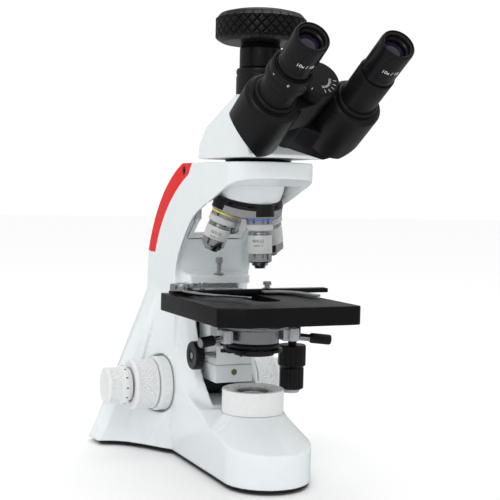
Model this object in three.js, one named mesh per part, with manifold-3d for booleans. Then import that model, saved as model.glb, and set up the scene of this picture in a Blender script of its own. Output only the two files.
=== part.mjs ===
// Trinocular laboratory microscope, in millimetres, +Z up.
// Every measure below has the optical axis at x = y = 0 and the floor at z = 0.
// The user sits at -Y and looks to +Y, so the left side of the microscope is at -X.
// The whole group is then moved along Y, so that the middle of its outer box stands at y = 0.
import * as THREE from "three";
import { mergeVertices } from "three/addons/utils/BufferGeometryUtils.js";
import Module from "manifold-3d";

const wasm = await Module();
wasm.setup();

// Sides of round pieces
const FINE = 20;
const MEDIUM = 14;
const COARSE = 8;

// ---------- Driving dimensions ----------
const GAP = 0.3; // clearance between pieces that touch
const FAR = 400; // longer than anything here, for cuts that run right through

// Stand
const FOOT_HEIGHT = 2.4;
const COVER_BOTTOM = 2.2;
const COVER_TOP = 4.2;
const CASTING_BOTTOM = 4.6;
const SPLIT_Z = 50; // the arm stands on the base here
const TOE_RADIUS = 39.2;
const TOE_Y = -28.7;
const TOE_WALL_TOP = 33;
const TOE_TOP = 57.7;
const ARM_HALF_WIDTH = 38.6;
const REAR_Y = 190;
const SKIRT = { start: 100, corner: [94, 156], side: [97, 178], rearHalfWidth: 92, top: 160 };
const CHANNEL_HALF_WIDTH = 25;
const CHANNEL_REAR = 118;
const CHANNEL_TOP = 166;
const SHELF_TOP = 173;
const DECK_TOP = 277.8;
const DECK_BOTTOM = 263;
const NOSE_Y = -20;
const CAVITY_HALF_WIDTH = 31.8;
const WINDOW = { halfWidth: 27, bottom: 208, top: 246 };

// Focus drive: both shafts lie along X through this point
const FOCUS_Y = 120.3;
const FOCUS_Z = 65.8;
const COARSE_TUBE_RADIUS = 4.5;
const FINE_SHAFT_RADIUS = 2.6;
const TENSION_RING = { inner: 39.5, outer: 51, radius: 25.9 };
const COARSE_KNOB = { inner: 51.4, outer: 75, radius: 24 };
const FINE_KNOB = { inner: 76, outer: 100, radius: 19 };
const PINION_TEETH = 16;
const GEAR_MODULE = 0.8;
const RACK_BOTTOM = 36;
const RACK_TOP = 76;

// Stage
const CARRIER_HALF_WIDTH = 18.5;
const CARRIER_FRONT = 42;
const CARRIER_REAR = 87.7;
const STAGE_TOP = 159.3;
const STAGE_PLATE = 5;
const STAGE_BOTTOM = 143.4;
const STAGE_HALF_WIDTH = 66;
const STAGE_FRONT = -83;
const STAGE_REAR = 61.4;
const STAGE_DRIVE = { x: 50, y: 24 };

// Substage
const CONDENSER_AXIS = [46.5, 103]; // y and z of the height knob's shaft

// Nosepiece: the objectives point away from one apex on the optical axis
const SHOULDER_Z = 229.8;
const APEX_ABOVE_SHOULDER = 80.5;
const TURRET_TILT = THREE.MathUtils.degToRad(16);
const TURRET_REST_TURN = THREE.MathUtils.degToRad(15);
const TURRET_RADIUS = 30;

// Head: the eyepiece side is a frame whose z axis runs up along the eyepiece tubes
const HEAD_BOTTOM = 281;
const EYE_TILT = THREE.MathUtils.degToRad(57.8);
const EYE_FRAME = new THREE.Vector3(0, -48.2, 302.5);
const TUBE_X = 36.1;
const TUBE_Y = -10.5;
const WING_TOP = 62.7;
const EYE_TOP = 135;
const HUB_RADIUS = 15;
const WING_RADIUS = 22.5;
const DIAL_RADIUS = 17.6;
const TRINO_BOTTOM = 337;
const CAMERA_RADIUS = 39.7;

// ---------- Materials ----------
const paint = (color, roughness, metalness) =>
  new THREE.MeshStandardMaterial({ color, roughness, metalness });
const white = paint(0xe9eef0, 0.3, 0);
const red = paint(0xe8353a, 0.4, 0);
const black = paint(0x151517, 0.45, 0);
const blackMetal = paint(0x1b1b1e, 0.35, 0.6);
const silver = paint(0xc9ccce, 0.28, 1);
const steel = paint(0x9b9ea1, 0.35, 1);
const glass = paint(0xa9b7c4, 0.05, 0);
const rubber = paint(0x101012, 0.8, 0);
const circuit = paint(0x1f5a35, 0.6, 0);
const greyPlastic = paint(0xb9bec2, 0.45, 0);

// ---------- Geometry helpers ----------
// A three.js geometry as a solid that can be joined and cut.
function solid(geometry) {
  const bare = geometry.clone();
  bare.deleteAttribute("normal");
  bare.deleteAttribute("uv");
  const merged = mergeVertices(bare, 1e-4);
  const index = merged.index.array;
  const kept = [];
  for (let i = 0; i < index.length; i += 3) {
    const [a, b, c] = [index[i], index[i + 1], index[i + 2]];
    if (a !== b && b !== c && c !== a) kept.push(a, b, c);
  }
  const vertProperties = new Float32Array(merged.attributes.position.array);
  return new wasm.Manifold(new wasm.Mesh({ numProp: 3, vertProperties, triVerts: new Uint32Array(kept) }));
}

function geometryOf(body) {
  const mesh = body.getMesh();
  const geometry = new THREE.BufferGeometry();
  geometry.setAttribute("position", new THREE.BufferAttribute(new Float32Array(mesh.vertProperties), 3));
  geometry.setIndex(new THREE.BufferAttribute(new Uint32Array(mesh.triVerts), 1));
  const flat = geometry.toNonIndexed();
  flat.computeVertexNormals();
  return flat;
}

const join = (...bodies) => bodies.reduce((sum, body) => sum.add(body));
const cut = (body, ...tools) => tools.reduce((rest, tool) => rest.subtract(tool), body);

// A body turned about the Z axis, from [radius, z] corners.
function turned(corners, segments = FINE) {
  const profile = corners.map(([radius, z]) => new THREE.Vector2(radius, z));
  return solid(new THREE.LatheGeometry(profile, segments).rotateX(Math.PI / 2));
}

const disc = (radius, bottom, top, segments) =>
  turned([[0, bottom], [radius, bottom], [radius, top], [0, top]], segments);
const ring = (inner, outer, bottom, top, segments) =>
  turned([[inner, bottom], [outer, bottom], [outer, top], [inner, top], [inner, bottom]], segments);

function block([x0, x1], [y0, y1], [z0, z1]) {
  const box = new THREE.BoxGeometry(x1 - x0, y1 - y0, z1 - z0);
  return solid(box.translate((x0 + x1) / 2, (y0 + y1) / 2, (z0 + z1) / 2));
}

// A round bar between two points.
function bar(radius, start, end, segments = MEDIUM) {
  const from = new THREE.Vector3(...start);
  const along = new THREE.Vector3(...end).sub(from);
  const rod = new THREE.CylinderGeometry(radius, radius, along.length(), segments);
  rod.translate(0, along.length() / 2, 0);
  const up = new THREE.Vector3(0, 1, 0);
  rod.applyQuaternion(new THREE.Quaternion().setFromUnitVectors(up, along.normalize()));
  return solid(rod.translate(from.x, from.y, from.z));
}

const shapeOf = (points) => new THREE.Shape(points.map(([a, b]) => new THREE.Vector2(a, b)));
const asShape = (outline) => (Array.isArray(outline) ? shapeOf(outline) : outline);

// A plan outline in X and Y, raised from one height to another.
function slab(outline, bottom, top, curveSegments = 10) {
  const raised = new THREE.ExtrudeGeometry(asShape(outline), {
    depth: top - bottom,
    bevelEnabled: false,
    curveSegments,
  });
  return solid(raised.translate(0, 0, bottom));
}

// A side outline in Y and Z, widened along X.
function sideways(outline, left, right) {
  const toSide = new THREE.Matrix4().makeBasis(
    new THREE.Vector3(0, 1, 0),
    new THREE.Vector3(0, 0, 1),
    new THREE.Vector3(1, 0, 0),
  );
  const wide = new THREE.ExtrudeGeometry(asShape(outline), {
    depth: right - left,
    bevelEnabled: false,
    curveSegments: 6,
  });
  return solid(wide.applyMatrix4(toSide).translate(left, 0, 0));
}

// Copies of a body turned evenly about the Z axis.
function spun(body, count) {
  const step = 360 / count;
  return join(...Array.from({ length: count }, (_, i) => body.rotate([0, 0, i * step])));
}

const mirrored = (body) => body.mirror([1, 0, 0]);
const onBothSides = (body) => join(body, mirrored(body));
// A body turned about Z laid along X, its Z axis pointing to +X.
const alongX = (body, y, z) => body.rotate([0, 90, 0]).translate([0, y, z]);
const atFocus = (body) => alongX(body, FOCUS_Y, FOCUS_Z);

const microscope = new THREE.Group();
microscope.name = "microscope";

function add(name, body, material, parent = microscope) {
  const mesh = new THREE.Mesh(geometryOf(body), material);
  mesh.name = name;
  parent.add(mesh);
}

function addGroup(parent, position, rotation) {
  const group = new THREE.Group();
  group.position.set(...position);
  group.rotation.set(...rotation);
  parent.add(group);
  return group;
}

// ---------- Stand castings ----------
// The skirt is widest at the floor and dies into the arm at its top.
const skirtShare = (z) => Math.max(0, 1 - z / SKIRT.top);

function skirtOutline() {
  const outline = new THREE.Shape();
  outline.moveTo(0, SKIRT.start);
  outline.lineTo(ARM_HALF_WIDTH, SKIRT.start);
  outline.bezierCurveTo(50, 116, 64, 152, ...SKIRT.corner);
  outline.lineTo(...SKIRT.side);
  outline.lineTo(SKIRT.rearHalfWidth, REAR_Y);
  outline.lineTo(0, REAR_Y);
  outline.closePath();
  return outline;
}

// The skirt narrows and leans forward as it rises, and its top edge ends inside the arm.
const REAR_LEAN = 0.08;
const SKIRT_SINK = 1;
function skirt() {
  const raised = new THREE.ExtrudeGeometry(skirtOutline(), {
    depth: SKIRT.top,
    steps: 4,
    bevelEnabled: false,
    curveSegments: 5,
  });
  const places = raised.attributes.position;
  for (let i = 0; i < places.count; i += 1) {
    const z = places.getZ(i);
    const x = places.getX(i);
    const flare = Math.max(0, x - ARM_HALF_WIDTH);
    const sink = (SKIRT_SINK * z) / SKIRT.top;
    places.setX(i, x - flare * (1 - skirtShare(z)) - sink);
    places.setY(i, places.getY(i) - (places.getY(i) > 150 ? z * REAR_LEAN : 0));
  }
  const half = solid(raised);
  return join(half, mirrored(half));
}

function toeOutline(inset) {
  const outline = new THREE.Shape();
  outline.absarc(0, TOE_Y, TOE_RADIUS - inset, Math.PI, 2 * Math.PI, false);
  outline.lineTo(TOE_RADIUS - inset, 110 - inset);
  outline.lineTo(inset - TOE_RADIUS, 110 - inset);
  outline.closePath();
  return outline;
}

// The shoulder of the toe slopes from the outer wall up to the foot of the lamp collector.
function toeShoulder() {
  const steps = 3;
  const height = TOE_TOP - TOE_WALL_TOP;
  const raised = new THREE.ExtrudeGeometry(toeOutline(0), {
    depth: height,
    steps,
    bevelEnabled: false,
    curveSegments: 8,
  });
  const places = raised.attributes.position;
  for (let i = 0; i < places.count; i += 1) {
    const rise = places.getZ(i) / height;
    const y = places.getY(i);
    const front = Math.max(0, (20 - y) / 90);
    places.setX(i, places.getX(i) * (1 - 0.22 * rise * front));
    if (y < 20) places.setY(i, y + (20 - y) * 0.42 * rise);
  }
  return solid(raised.translate(0, 0, TOE_WALL_TOP - GAP / 10));
}

// Everything below or above a height.
const below = (z) => block([-FAR, FAR], [-FAR, FAR], [-1, z]);
const above = (z) => block([-FAR, FAR], [-FAR, FAR], [z, FAR]);

function baseCasting() {
  const outer = join(
    slab(toeOutline(0), CASTING_BOTTOM, TOE_WALL_TOP, 8),
    cut(toeShoulder(), block([-FAR, FAR], [35.7, FAR], [SPLIT_Z, FAR])),
    cut(skirt(), above(SPLIT_Z), below(CASTING_BOTTOM)),
  );
  const wall = 4;
  const toeHollow = slab(toeOutline(wall), 0, 28, 8);
  const lampWell = disc(22, 0, FAR, MEDIUM);
  const rearHollow = slab(
    [[-34, 60], [34, 60], [34, 128], [70, 177], [70, 184], [-70, 184], [-70, 177], [-34, 128]],
    0,
    44,
  );
  const rackWell = block([-12, 12], [84, 132], [0, FAR]);
  const knobRecess = onBothSides(atFocus(disc(28.5, ARM_HALF_WIDTH - 0.5, FAR, FINE)));
  const panelCut = block([-30, 24], [180, FAR], [14, 34.6]);
  const dimmerBore = alongX(disc(3.6, 20, FAR, COARSE), 72, 26);
  const drain = block([-34.5, 34.5], [55, 70], [0, 28]);
  return cut(outer, toeHollow, lampWell, rearHollow, drain, rackWell, knobRecess, panelCut, dimmerBore);
}

// Front and rear edges of the arm, seen from the side.
function armOutline() {
  const outline = new THREE.Shape();
  outline.moveTo(36, SPLIT_Z + GAP);
  outline.lineTo(REAR_Y - SPLIT_Z * REAR_LEAN + 2 * GAP, SPLIT_Z + GAP);
  outline.lineTo(175.4, 190.7);
  outline.lineTo(155, 190.7);
  outline.quadraticCurveTo(133, 238, 69, 266.7);
  outline.lineTo(62, DECK_TOP);
  outline.lineTo(NOSE_Y - ARM_HALF_WIDTH, DECK_TOP);
  outline.lineTo(NOSE_Y - ARM_HALF_WIDTH, 264);
  outline.lineTo(-47, 264);
  outline.quadraticCurveTo(16, 246, 52, 231);
  outline.bezierCurveTo(84, 214, 92, 186, 92, 166);
  outline.bezierCurveTo(90, 136, 66, 92, 36, 58);
  outline.closePath();
  return outline;
}

function armPlan() {
  const outline = new THREE.Shape();
  outline.absarc(0, NOSE_Y, ARM_HALF_WIDTH, Math.PI, 2 * Math.PI, false);
  outline.lineTo(ARM_HALF_WIDTH, REAR_Y);
  outline.lineTo(-ARM_HALF_WIDTH, REAR_Y);
  outline.closePath();
  return outline;
}

// In the turret's own frame: the room that the objectives sweep.
const objectiveSweep = () =>
  turned([[0, -135], [46, -135], [36.2, -98], [36.2, -72], [0, -72]], FINE);

const toTurret = (body) =>
  body
    .rotate([THREE.MathUtils.radToDeg(TURRET_TILT), 0, 0])
    .translate([0, 0, SHOULDER_Z + APEX_ABOVE_SHOULDER]);

// Two guide rails stand on the rear wall of the channel; the focus slide runs on them.
const RAIL_X = 14;
const slideRail = () =>
  block([RAIL_X - 3, RAIL_X + 3], [108, CHANNEL_REAR + 1], [84, CHANNEL_TOP + 1]);

function armCasting() {
  const profile = sideways(armOutline(), -ARM_HALF_WIDTH, ARM_HALF_WIDTH);
  const column = profile.intersect(slab(armPlan(), 0, FAR, 8));
  const flare = cut(skirt(), below(SPLIT_Z + GAP));
  const solidArm = join(column, flare);
  const mouth = [-CHANNEL_HALF_WIDTH, CHANNEL_HALF_WIDTH];
  const channel = block(mouth, [0, CHANNEL_REAR], [0, CHANNEL_TOP]);
  const drivePocket = block([-12, 12], [100, 132], [0, 80]);
  const window = block(
    [-WINDOW.halfWidth, WINDOW.halfWidth],
    [60, FAR],
    [WINDOW.bottom, WINDOW.top],
  );
  const turretRoom = sideways(
    [[-18, 200], [76, 200], [76, 250], [58, DECK_BOTTOM], [-18, DECK_BOTTOM]],
    -CAVITY_HALF_WIDTH,
    CAVITY_HALF_WIDTH,
  );
  const frontKeep = block([-FAR, FAR], [78, FAR], [0, WINDOW.bottom]);
  const shaftBore = atFocus(disc(COARSE_TUBE_RADIUS + GAP, -FAR, FAR, MEDIUM));
  const knobRecess = onBothSides(atFocus(disc(28.5, ARM_HALF_WIDTH, FAR, FINE)));
  const lightPath = disc(12, DECK_BOTTOM - 5, FAR, MEDIUM);
  const shelf = block([-30, 30], [78, 96], [CHANNEL_TOP + 2, SHELF_TOP]);
  const stopBore = bar(2.9, [0, 83, 150], [0, 83, 180], COARSE);
  const headScrewBore = alongX(disc(3.4, 20, FAR, COARSE), 0, 270.5);
  const seat = disc(30, DECK_TOP - 4, FAR, FINE);
  const rearHollow = block([-30, 30], [CHANNEL_REAR + 8, 168], [0, 190]);
  const body = cut(
    solidArm,
    channel,
    drivePocket,
    window,
    cut(turretRoom, frontKeep),
    toTurret(objectiveSweep()),
    knobRecess,
    lightPath,
    headScrewBore,
    seat,
    rearHollow,
  );
  const guides = onBothSides(slideRail());
  const stopRing = atFocus(disc(23, ARM_HALF_WIDTH - 0.25, TENSION_RING.outer));
  return cut(join(body, shelf, guides, stopRing), stopBore, shaftBore);
}

add("base_casting", baseCasting(), white);
add("arm_casting", armCasting(), white);

// The bottom cover closes the base; it holds the feet.
const FOOT_PLACES = [[-24, -34], [24, -34], [-74, 180], [74, 180]];
const COVER_SCREWS = [[0, -58], [-31, 44], [31, 44], [0, 186]];

function bottomCover() {
  const flare = [[58, 130], [72, 149], [91, 158], [94, 178]];
  const rear = slab([[0, 100], [37, 100], ...flare, [90, 188.6], [0, 188.6]], COVER_BOTTOM, COVER_TOP);
  const wide = join(slab(toeOutline(1.2), COVER_BOTTOM, COVER_TOP, 8), onBothSides(rear));
  const holes = COVER_SCREWS.map(([x, y]) => disc(2.2, 0, 10, COARSE).translate([x, y, 0]));
  return cut(wide, ...holes);
}

const footPad = () =>
  turned([[0, 0], [7, 0], [7.6, 0.6], [7.6, COVER_BOTTOM - GAP], [0, COVER_BOTTOM - GAP]], MEDIUM);

add("bottom_cover", bottomCover(), blackMetal);
FOOT_PLACES.forEach(([x, y], i) => add(`rubber_foot_${i + 1}`, footPad().translate([x, y, 0]), rubber));

// Carry handle: two side rails joined over the top of the arm, around the finger window.
function carryHandle() {
  const rail = new THREE.Shape();
  rail.moveTo(62.4, 278);
  rail.lineTo(84, 278);
  rail.quadraticCurveTo(152, 252, 175.4, 191);
  rail.lineTo(155.4, 191);
  rail.quadraticCurveTo(133.4, 238.5, 69.4, 267.1);
  rail.closePath();
  const whole = sideways(rail, -ARM_HALF_WIDTH, ARM_HALF_WIDTH);
  const between = block([-28, 28], [104, FAR], [0, FAR]);
  const screwHoles = alongX(disc(3.1, -FAR, FAR, COARSE), 88, 268.5);
  return cut(whole, between, screwHoles);
}

add("carry_handle", carryHandle(), red);

// ---------- Lamp ----------
const collectorRing = () =>
  cut(
    turned([[0, 58], [27.4, 58], [27.4, 77.5], [25.9, 79], [23.5, 79], [23.5, 74], [0, 74]], FINE),
    turned([[0, 50], [17, 50], [17, 66], [13.5, 90], [0, 90]], MEDIUM),
  );
const collectorRibs = () => {
  const rib = block([16.2, 23.8], [-0.7, 0.7], [73.9, 77.6]);
  return spun(rib, 12);
};
const ribHoop = ring(15.6, 16.6, 73.9, 77.6, MEDIUM);
add("collector_ring", join(collectorRing(), ribHoop, collectorRibs()), white);
const lensProfile = [
  [0, 58.6],
  [16.6, 58.6],
  [16.6, 63],
  [13.4, 69],
  [7, 72.4],
  [0, 73.6],
];
add("field_lens", turned(lensProfile, MEDIUM), glass);
const lampHousing = cut(disc(20, 30, 57.4, MEDIUM), disc(17.5, 33, FAR, MEDIUM));
const ledModule = join(disc(13, 32.8, 36, MEDIUM), disc(4, 35.9, 38.4, COARSE));
add("lamp_module", join(lampHousing, ledModule), blackMetal);
add(
  "driver_board",
  join(
    block([-24, 24], [140, 172], [12, 13.6]),
    block([-20, -6], [144, 156], [13.5, 26]),
    block([0, 16], [146, 152], [13.5, 20]),
    disc(5, 13.5, 28, COARSE).translate([10, 164, 0]),
    disc(4, 13.5, 24, COARSE).translate([-12, 166, 0]),
  ),
  circuit,
);
const inletRoom = block([-26, -6], [178, FAR], [18, 31]);
const switchRoom = block([10.4, 21.6], [178, FAR], [16.4, 32.2]);
const powerPanel = join(
  block([-29.7, 23.7], [184.5, 188.8], [14.3, 34.3]),
  block([-29, -3], [172, 186], [15, 33.6]),
  block([9, 23], [176, 186], [15, 33.6]),
);
add("power_panel", cut(powerPanel, inletRoom, switchRoom), black);
add(
  "power_switch",
  sideways(
    [[184.5, 17.8], [188.2, 17.2], [189.2, 24.3], [190.4, 30.9], [184.5, 30.4]],
    10.9,
    21.1,
  ),
  black,
);
const DIMMER = { y: 72, z: 26 };
const dimmerWheel = turned([[0, 39.6], [10, 39.6], [9.2, 49], [0, 49]], MEDIUM);
const dimmerShaft = disc(3.2, 26, 40, COARSE);
add("dimmer_knob", alongX(join(dimmerShaft, dimmerWheel), DIMMER.y, DIMMER.z), black);

// ---------- Focus drive ----------
function pinionTeeth() {
  const pitchRadius = (PINION_TEETH * GEAR_MODULE) / 2;
  const tip = pitchRadius + 0.75 * GEAR_MODULE;
  const root = pitchRadius - GEAR_MODULE;
  const tooth = slab([[root - 0.3, -0.72], [tip, -0.28], [tip, 0.28], [root - 0.3, 0.72]], -5, 5);
  const half = 180 / PINION_TEETH;
  return join(disc(root, -5, 5, FINE), spun(tooth, PINION_TEETH)).rotate([0, 0, half]);
}

const coarseShaft = () =>
  atFocus(
    cut(join(disc(COARSE_TUBE_RADIUS, -74, 74, MEDIUM), pinionTeeth()), disc(3.2, -FAR, FAR, MEDIUM)),
  );

function tensionRing() {
  const { inner, outer, radius } = TENSION_RING;
  return atFocus(ring(6, radius, inner, outer));
}

function coarseKnob() {
  const { inner, outer, radius } = COARSE_KNOB;
  const bore = disc(COARSE_TUBE_RADIUS + GAP, -FAR, FAR, MEDIUM);
  const body = turned([
    [0, inner],
    [radius - 1.4, inner],
    [radius, inner + 1.4],
    [radius, outer - 2.4],
    [radius - 2.4, outer],
    [0, outer],
  ]);
  return cut(body, bore, disc(16, outer - 3, FAR, MEDIUM));
}

function fineKnob() {
  const { inner, outer, radius } = FINE_KNOB;
  const neck = 15.5;
  const grip = 17.7;
  const body = turned([
    [0, inner],
    [neck, inner],
    [neck, 80],
    [radius, 80],
    [radius, 84],
    [grip, 85.5],
    [grip, outer - 2],
    [grip - 2, outer],
    [0, outer],
  ]);
  return cut(body, disc(FINE_SHAFT_RADIUS + GAP, -FAR, outer - 6, COARSE));
}

const sides = [["left", -1], ["right", 1]];
for (const [side, sign] of sides) {
  const place = (body) => (sign < 0 ? mirrored(atFocus(body)) : atFocus(body));
  add(`coarse_knob_${side}`, place(coarseKnob()), white);
  add(`fine_knob_${side}`, place(fineKnob()), white);
}
add("coarse_pinion_shaft", coarseShaft(), steel);
add("fine_shaft", atFocus(disc(FINE_SHAFT_RADIUS, -93, 93, COARSE)), steel);
add("tension_ring", mirrored(tensionRing()), white);

// ---------- Focus slide ----------
const slideGroove = () => block([RAIL_X - 3.4, RAIL_X + 3.4], [107.6, FAR], [0, FAR]);

function slideBlock() {
  const body = block([-20, 20], [88, 111.5], [62, 138]);
  return cut(body, slideGroove(), mirrored(slideGroove()));
}

// Rack teeth face the pinion; one gap lies level with a pinion tooth.
function focusRack() {
  const pitch = Math.PI * GEAR_MODULE;
  const pitchLine = FOCUS_Y - (PINION_TEETH * GEAR_MODULE) / 2;
  const root = pitchLine - GEAR_MODULE;
  const tip = pitchLine + 0.75 * GEAR_MODULE;
  const body = block([-4, 4], [106, root], [RACK_BOTTOM, RACK_TOP]);
  const teeth = [];
  const below = Math.floor((FOCUS_Z - RACK_BOTTOM - 1) / pitch);
  const above = Math.floor((RACK_TOP - FOCUS_Z - 1) / pitch);
  for (let i = -below; i <= above; i += 1) {
    const z = FOCUS_Z + i * pitch;
    const tooth = [[root - 0.2, z - 0.6], [tip, z - 0.2], [tip, z + 0.2], [root - 0.2, z + 0.6]];
    teeth.push(sideways(tooth, -4, 4));
  }
  return join(body, ...teeth);
}

add("focus_slide", join(slideBlock(), focusRack()), blackMetal);

// ---------- Stage carrier ----------
function stageCarrier() {
  const width = (inset) => [inset - CARRIER_HALF_WIDTH, CARRIER_HALF_WIDTH - inset];
  const lower = block(width(0), [CARRIER_FRONT, CARRIER_REAR], [77, 94]);
  const middle = block(width(0.6), [CARRIER_FRONT + 0.6, CARRIER_REAR], [93, 111]);
  const spine = block([-17, 17], [72, CARRIER_REAR], [110, 139]);
  const column = block([-17, 17], [60, 76], [110, 143.8]);
  const slot = block([-7.4, 7.4], [49.7, 53.6], [84, FAR]);
  const shaftBore = bar(3.4, [-FAR, ...CONDENSER_AXIS], [8, ...CONDENSER_AXIS], COARSE);
  const screwHole = bar(3.2, [0, 30, 86], [0, 52, 86], COARSE);
  return cut(join(lower, middle, spine, column), slot, shaftBore, screwHole);
}

add("stage_carrier", stageCarrier(), white);

// ---------- Stage ----------
const STAGE_CHAMFER = [20, 12];
function stageOutline(inset) {
  const w = STAGE_HALF_WIDTH - inset;
  const f = STAGE_FRONT + inset;
  const [cx, cy] = STAGE_CHAMFER;
  return [[-w, f + cy], [cx - w, f], [w - cx, f], [w, f + cy], [w, STAGE_REAR], [-w, STAGE_REAR]];
}

function lightSlot(halfWidth, front, rear) {
  const outline = new THREE.Shape();
  outline.absarc(0, front + halfWidth, halfWidth, Math.PI, 2 * Math.PI, false);
  outline.absarc(0, rear - halfWidth, halfWidth, 0, Math.PI, false);
  outline.closePath();
  return outline;
}

function stageTop() {
  const outer = slab(stageOutline(0), STAGE_BOTTOM, STAGE_TOP);
  const under = join(
    slab(stageOutline(3), 0, STAGE_TOP - STAGE_PLATE),
    block([-STAGE_HALF_WIDTH + 3, STAGE_HALF_WIDTH - 3], [0, FAR], [0, STAGE_TOP - STAGE_PLATE]),
  );
  return cut(outer, under, slab(lightSlot(13, -35, 41), 0, FAR, 8));
}

const driveAt = (body) => body.translate([STAGE_DRIVE.x, STAGE_DRIVE.y, 0]);
const driveBracket = () =>
  cut(
    join(disc(7.5, 117.4, 150, MEDIUM), block([-6, 9], [-8, 8], [140, 154.5])),
    disc(4.4, 0, 145, COARSE),
  );

function stageBase() {
  const plate = join(
    block([-41.5, 41.5], [-50, 50], [144.2, 153.9]),
    block([-20, 20], [45, 76.5], [144.2, 153.9]),
  );
  return cut(plate, disc(34, 0, FAR, FINE));
}

add("stage_base_plate", stageBase(), blackMetal);
add("stage_top_plate", join(stageTop(), driveAt(driveBracket())), black);

// The slide holder runs along X on its rail; the spring finger presses the slide against the fixed arm.
const RAIL_Y = 35;
const holderBottom = STAGE_TOP + GAP;
const railBar = () => block([-42, 90], [RAIL_Y - 4, RAIL_Y + 4], [holderBottom, holderBottom + 4]);
const HOLDER_PIVOT = [-53, 43];

function slideHolder() {
  const plate = slab(
    [[-62, 39.3], [36, 39.3], [36, 46], [-44, 52], [-62, 52]],
    holderBottom,
    holderBottom + 2.4,
  );
  const arm = slab(
    [[22, 22], [34, 22], [44, 12], [50, -16], [57, -16], [51, 16], [38, 31.4], [22, 31.4]],
    holderBottom,
    holderBottom + 1.8,
  );
  const pivotBore = disc(2.6, 0, FAR, COARSE).translate([...HOLDER_PIVOT, 0]);
  return cut(join(plate, railBar(), arm), pivotBore);
}

function springFinger() {
  const finger = new THREE.Shape();
  finger.moveTo(-60, 36);
  finger.quadraticCurveTo(-52, -8, -20, -38);
  finger.lineTo(-17.5, -35.5);
  finger.quadraticCurveTo(-46, -4, -50, 30);
  finger.lineTo(-46, 38);
  finger.closePath();
  const flat = slab(finger, holderBottom + 2.7, holderBottom + 4.2, 8);
  const hub = disc(10, holderBottom + 2.7, holderBottom + 6.4, MEDIUM).translate([...HOLDER_PIVOT, 0]);
  const pin = disc(2.2, holderBottom + GAP, holderBottom + 3, COARSE).translate([...HOLDER_PIVOT, 0]);
  return join(flat, hub, pin);
}

const HOLDER_SCREWS = [[-27, 43], [27, 43]];
function holderScrews() {
  const screw = turned(
    [[0, 2.2], [4.6, 2.2], [4.6, 3.6], [2.4, 4.2], [2.4, 6.4], [3.9, 7], [3.9, 10.2], [0, 10.2]],
    16,
  );
  return join(...HOLDER_SCREWS.map(([x, y]) => screw.translate([x, y, holderBottom])));
}

add("slide_holder", join(slideHolder(), holderScrews()), blackMetal);
add("spring_finger", springFinger(), silver);

// Coaxial stage drive, hanging below the right side of the stage.
function fluted(radius, bottom, top, flutes) {
  const body = turned([
    [0, bottom],
    [radius - 1, bottom],
    [radius, bottom + 1],
    [radius, top - 1],
    [radius - 1, top],
    [0, top],
  ]);
  const groove = disc(1.1, 0, FAR, COARSE).translate([radius + 0.4, 0, 0]);
  return cut(body, spun(groove, flutes));
}

const FLUTES = 8;
const upperKnob = cut(
  join(fluted(12.8, 97, 117, FLUTES), disc(4, 116, 140, COARSE)),
  disc(2.5, 0, FAR, COARSE),
);
const lowerCap = turned([[0, 71.5], [6.5, 71.5], [8, 73], [8, 77], [0, 77]], MEDIUM);
const lowerKnob = join(fluted(11.2, 76, 96.4, FLUTES), disc(2.1, 95, 139, COARSE), lowerCap);
add("stage_y_knob", driveAt(upperKnob), black);
add("stage_x_knob", driveAt(lowerKnob), black);

// ---------- Substage ----------
function condenserBracket() {
  const around = ring(26, 33, 121, 131, FINE);
  const frontAway = block([-FAR, FAR], [-FAR, -9], [0, FAR]);
  const arm = block([-6.8, 6.8], [30, 53.2], [123.4, 131]);
  const tongue = block([-6.8, 6.8], [50, 53.2], [97, 131]);
  const lug = block([29, 37], [-12, 1], [117.5, 132.5]);
  const body = join(cut(around, frontAway), arm, tongue, onBothSides(lug));
  return cut(body, disc(26, 0, FAR, FINE), centringBore(), mirrored(centringBore()));
}

// The centring screws point sideways, a little forward and down.
const CENTRING = { from: [20, -3.2, 126.6], to: [69, -14.6, 121.4] };
const alongScrew = (share) => CENTRING.from.map((a, i) => a + (CENTRING.to[i] - a) * share);
const centringBore = () => bar(2.3, alongScrew(0), alongScrew(0.6), COARSE);

function centringScrew() {
  const part = (radius, from, to) => bar(radius, alongScrew(from), alongScrew(to), COARSE);
  return join(part(1.9, 0.14, 0.62), part(3.1, 0.4, 0.62), part(4.6, 0.6, 1));
}

add("condenser_bracket", condenserBracket(), greyPlastic);
add("centring_screw_left", mirrored(centringScrew()), blackMetal);
add("centring_screw_right", centringScrew(), blackMetal);

const condenserBody = () =>
  cut(
    turned([
      [0, 120.4],
      [22, 120.4],
      [22, 131.4],
      [24, 133],
      [31, 133.3],
      [31, 135.8],
      [18, 136.4],
      [14, 145.6],
      [0, 145.6],
    ]),
    turned([[0, 0], [15, 0], [15, 134], [9, 144], [9, FAR], [0, FAR]], MEDIUM),
  );
add("condenser_mount", condenserBody(), silver);
const lensCorners = [[0, 128], [14.6, 128], [14.6, 133.6], [8.7, 143], [8.7, 144.6], [0, 145.2]];
add("condenser_lens", turned(lensCorners, MEDIUM), glass);
// A lug on the iris ring carries the pin that the filter holder swings out on.
const FILTER_PIVOT = [-21.5, 17.2];
const atFilterPivot = (radius, bottom, top) =>
  disc(radius, bottom, top, COARSE).translate([...FILTER_PIVOT, 0]);
add(
  "iris_ring",
  join(ring(13, 24.5, 113.2, 120, FINE), atFilterPivot(3.8, 113.2, 116.5), atFilterPivot(0.8, 104.4, 114)),
  black,
);
const irisHandle = bar(1.6, [-16.2, -17.8, 111.6], [-29, -32, 110.2], COARSE);
add("iris_lever", join(ring(20, 25.6, 110.4, 112.9, FINE), irisHandle), blackMetal);
add(
  "filter_holder",
  cut(
    join(
      cut(block([-20.5, -12], [8, 16], [104.4, 108.4]), disc(16.5, 0, FAR, MEDIUM)),
      ring(15.5, 18, 104.4, 108.4, MEDIUM),
      atFilterPivot(3, 104.4, 110),
    ),
    atFilterPivot(1.2, 0, FAR),
  ),
  blackMetal,
);

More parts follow.
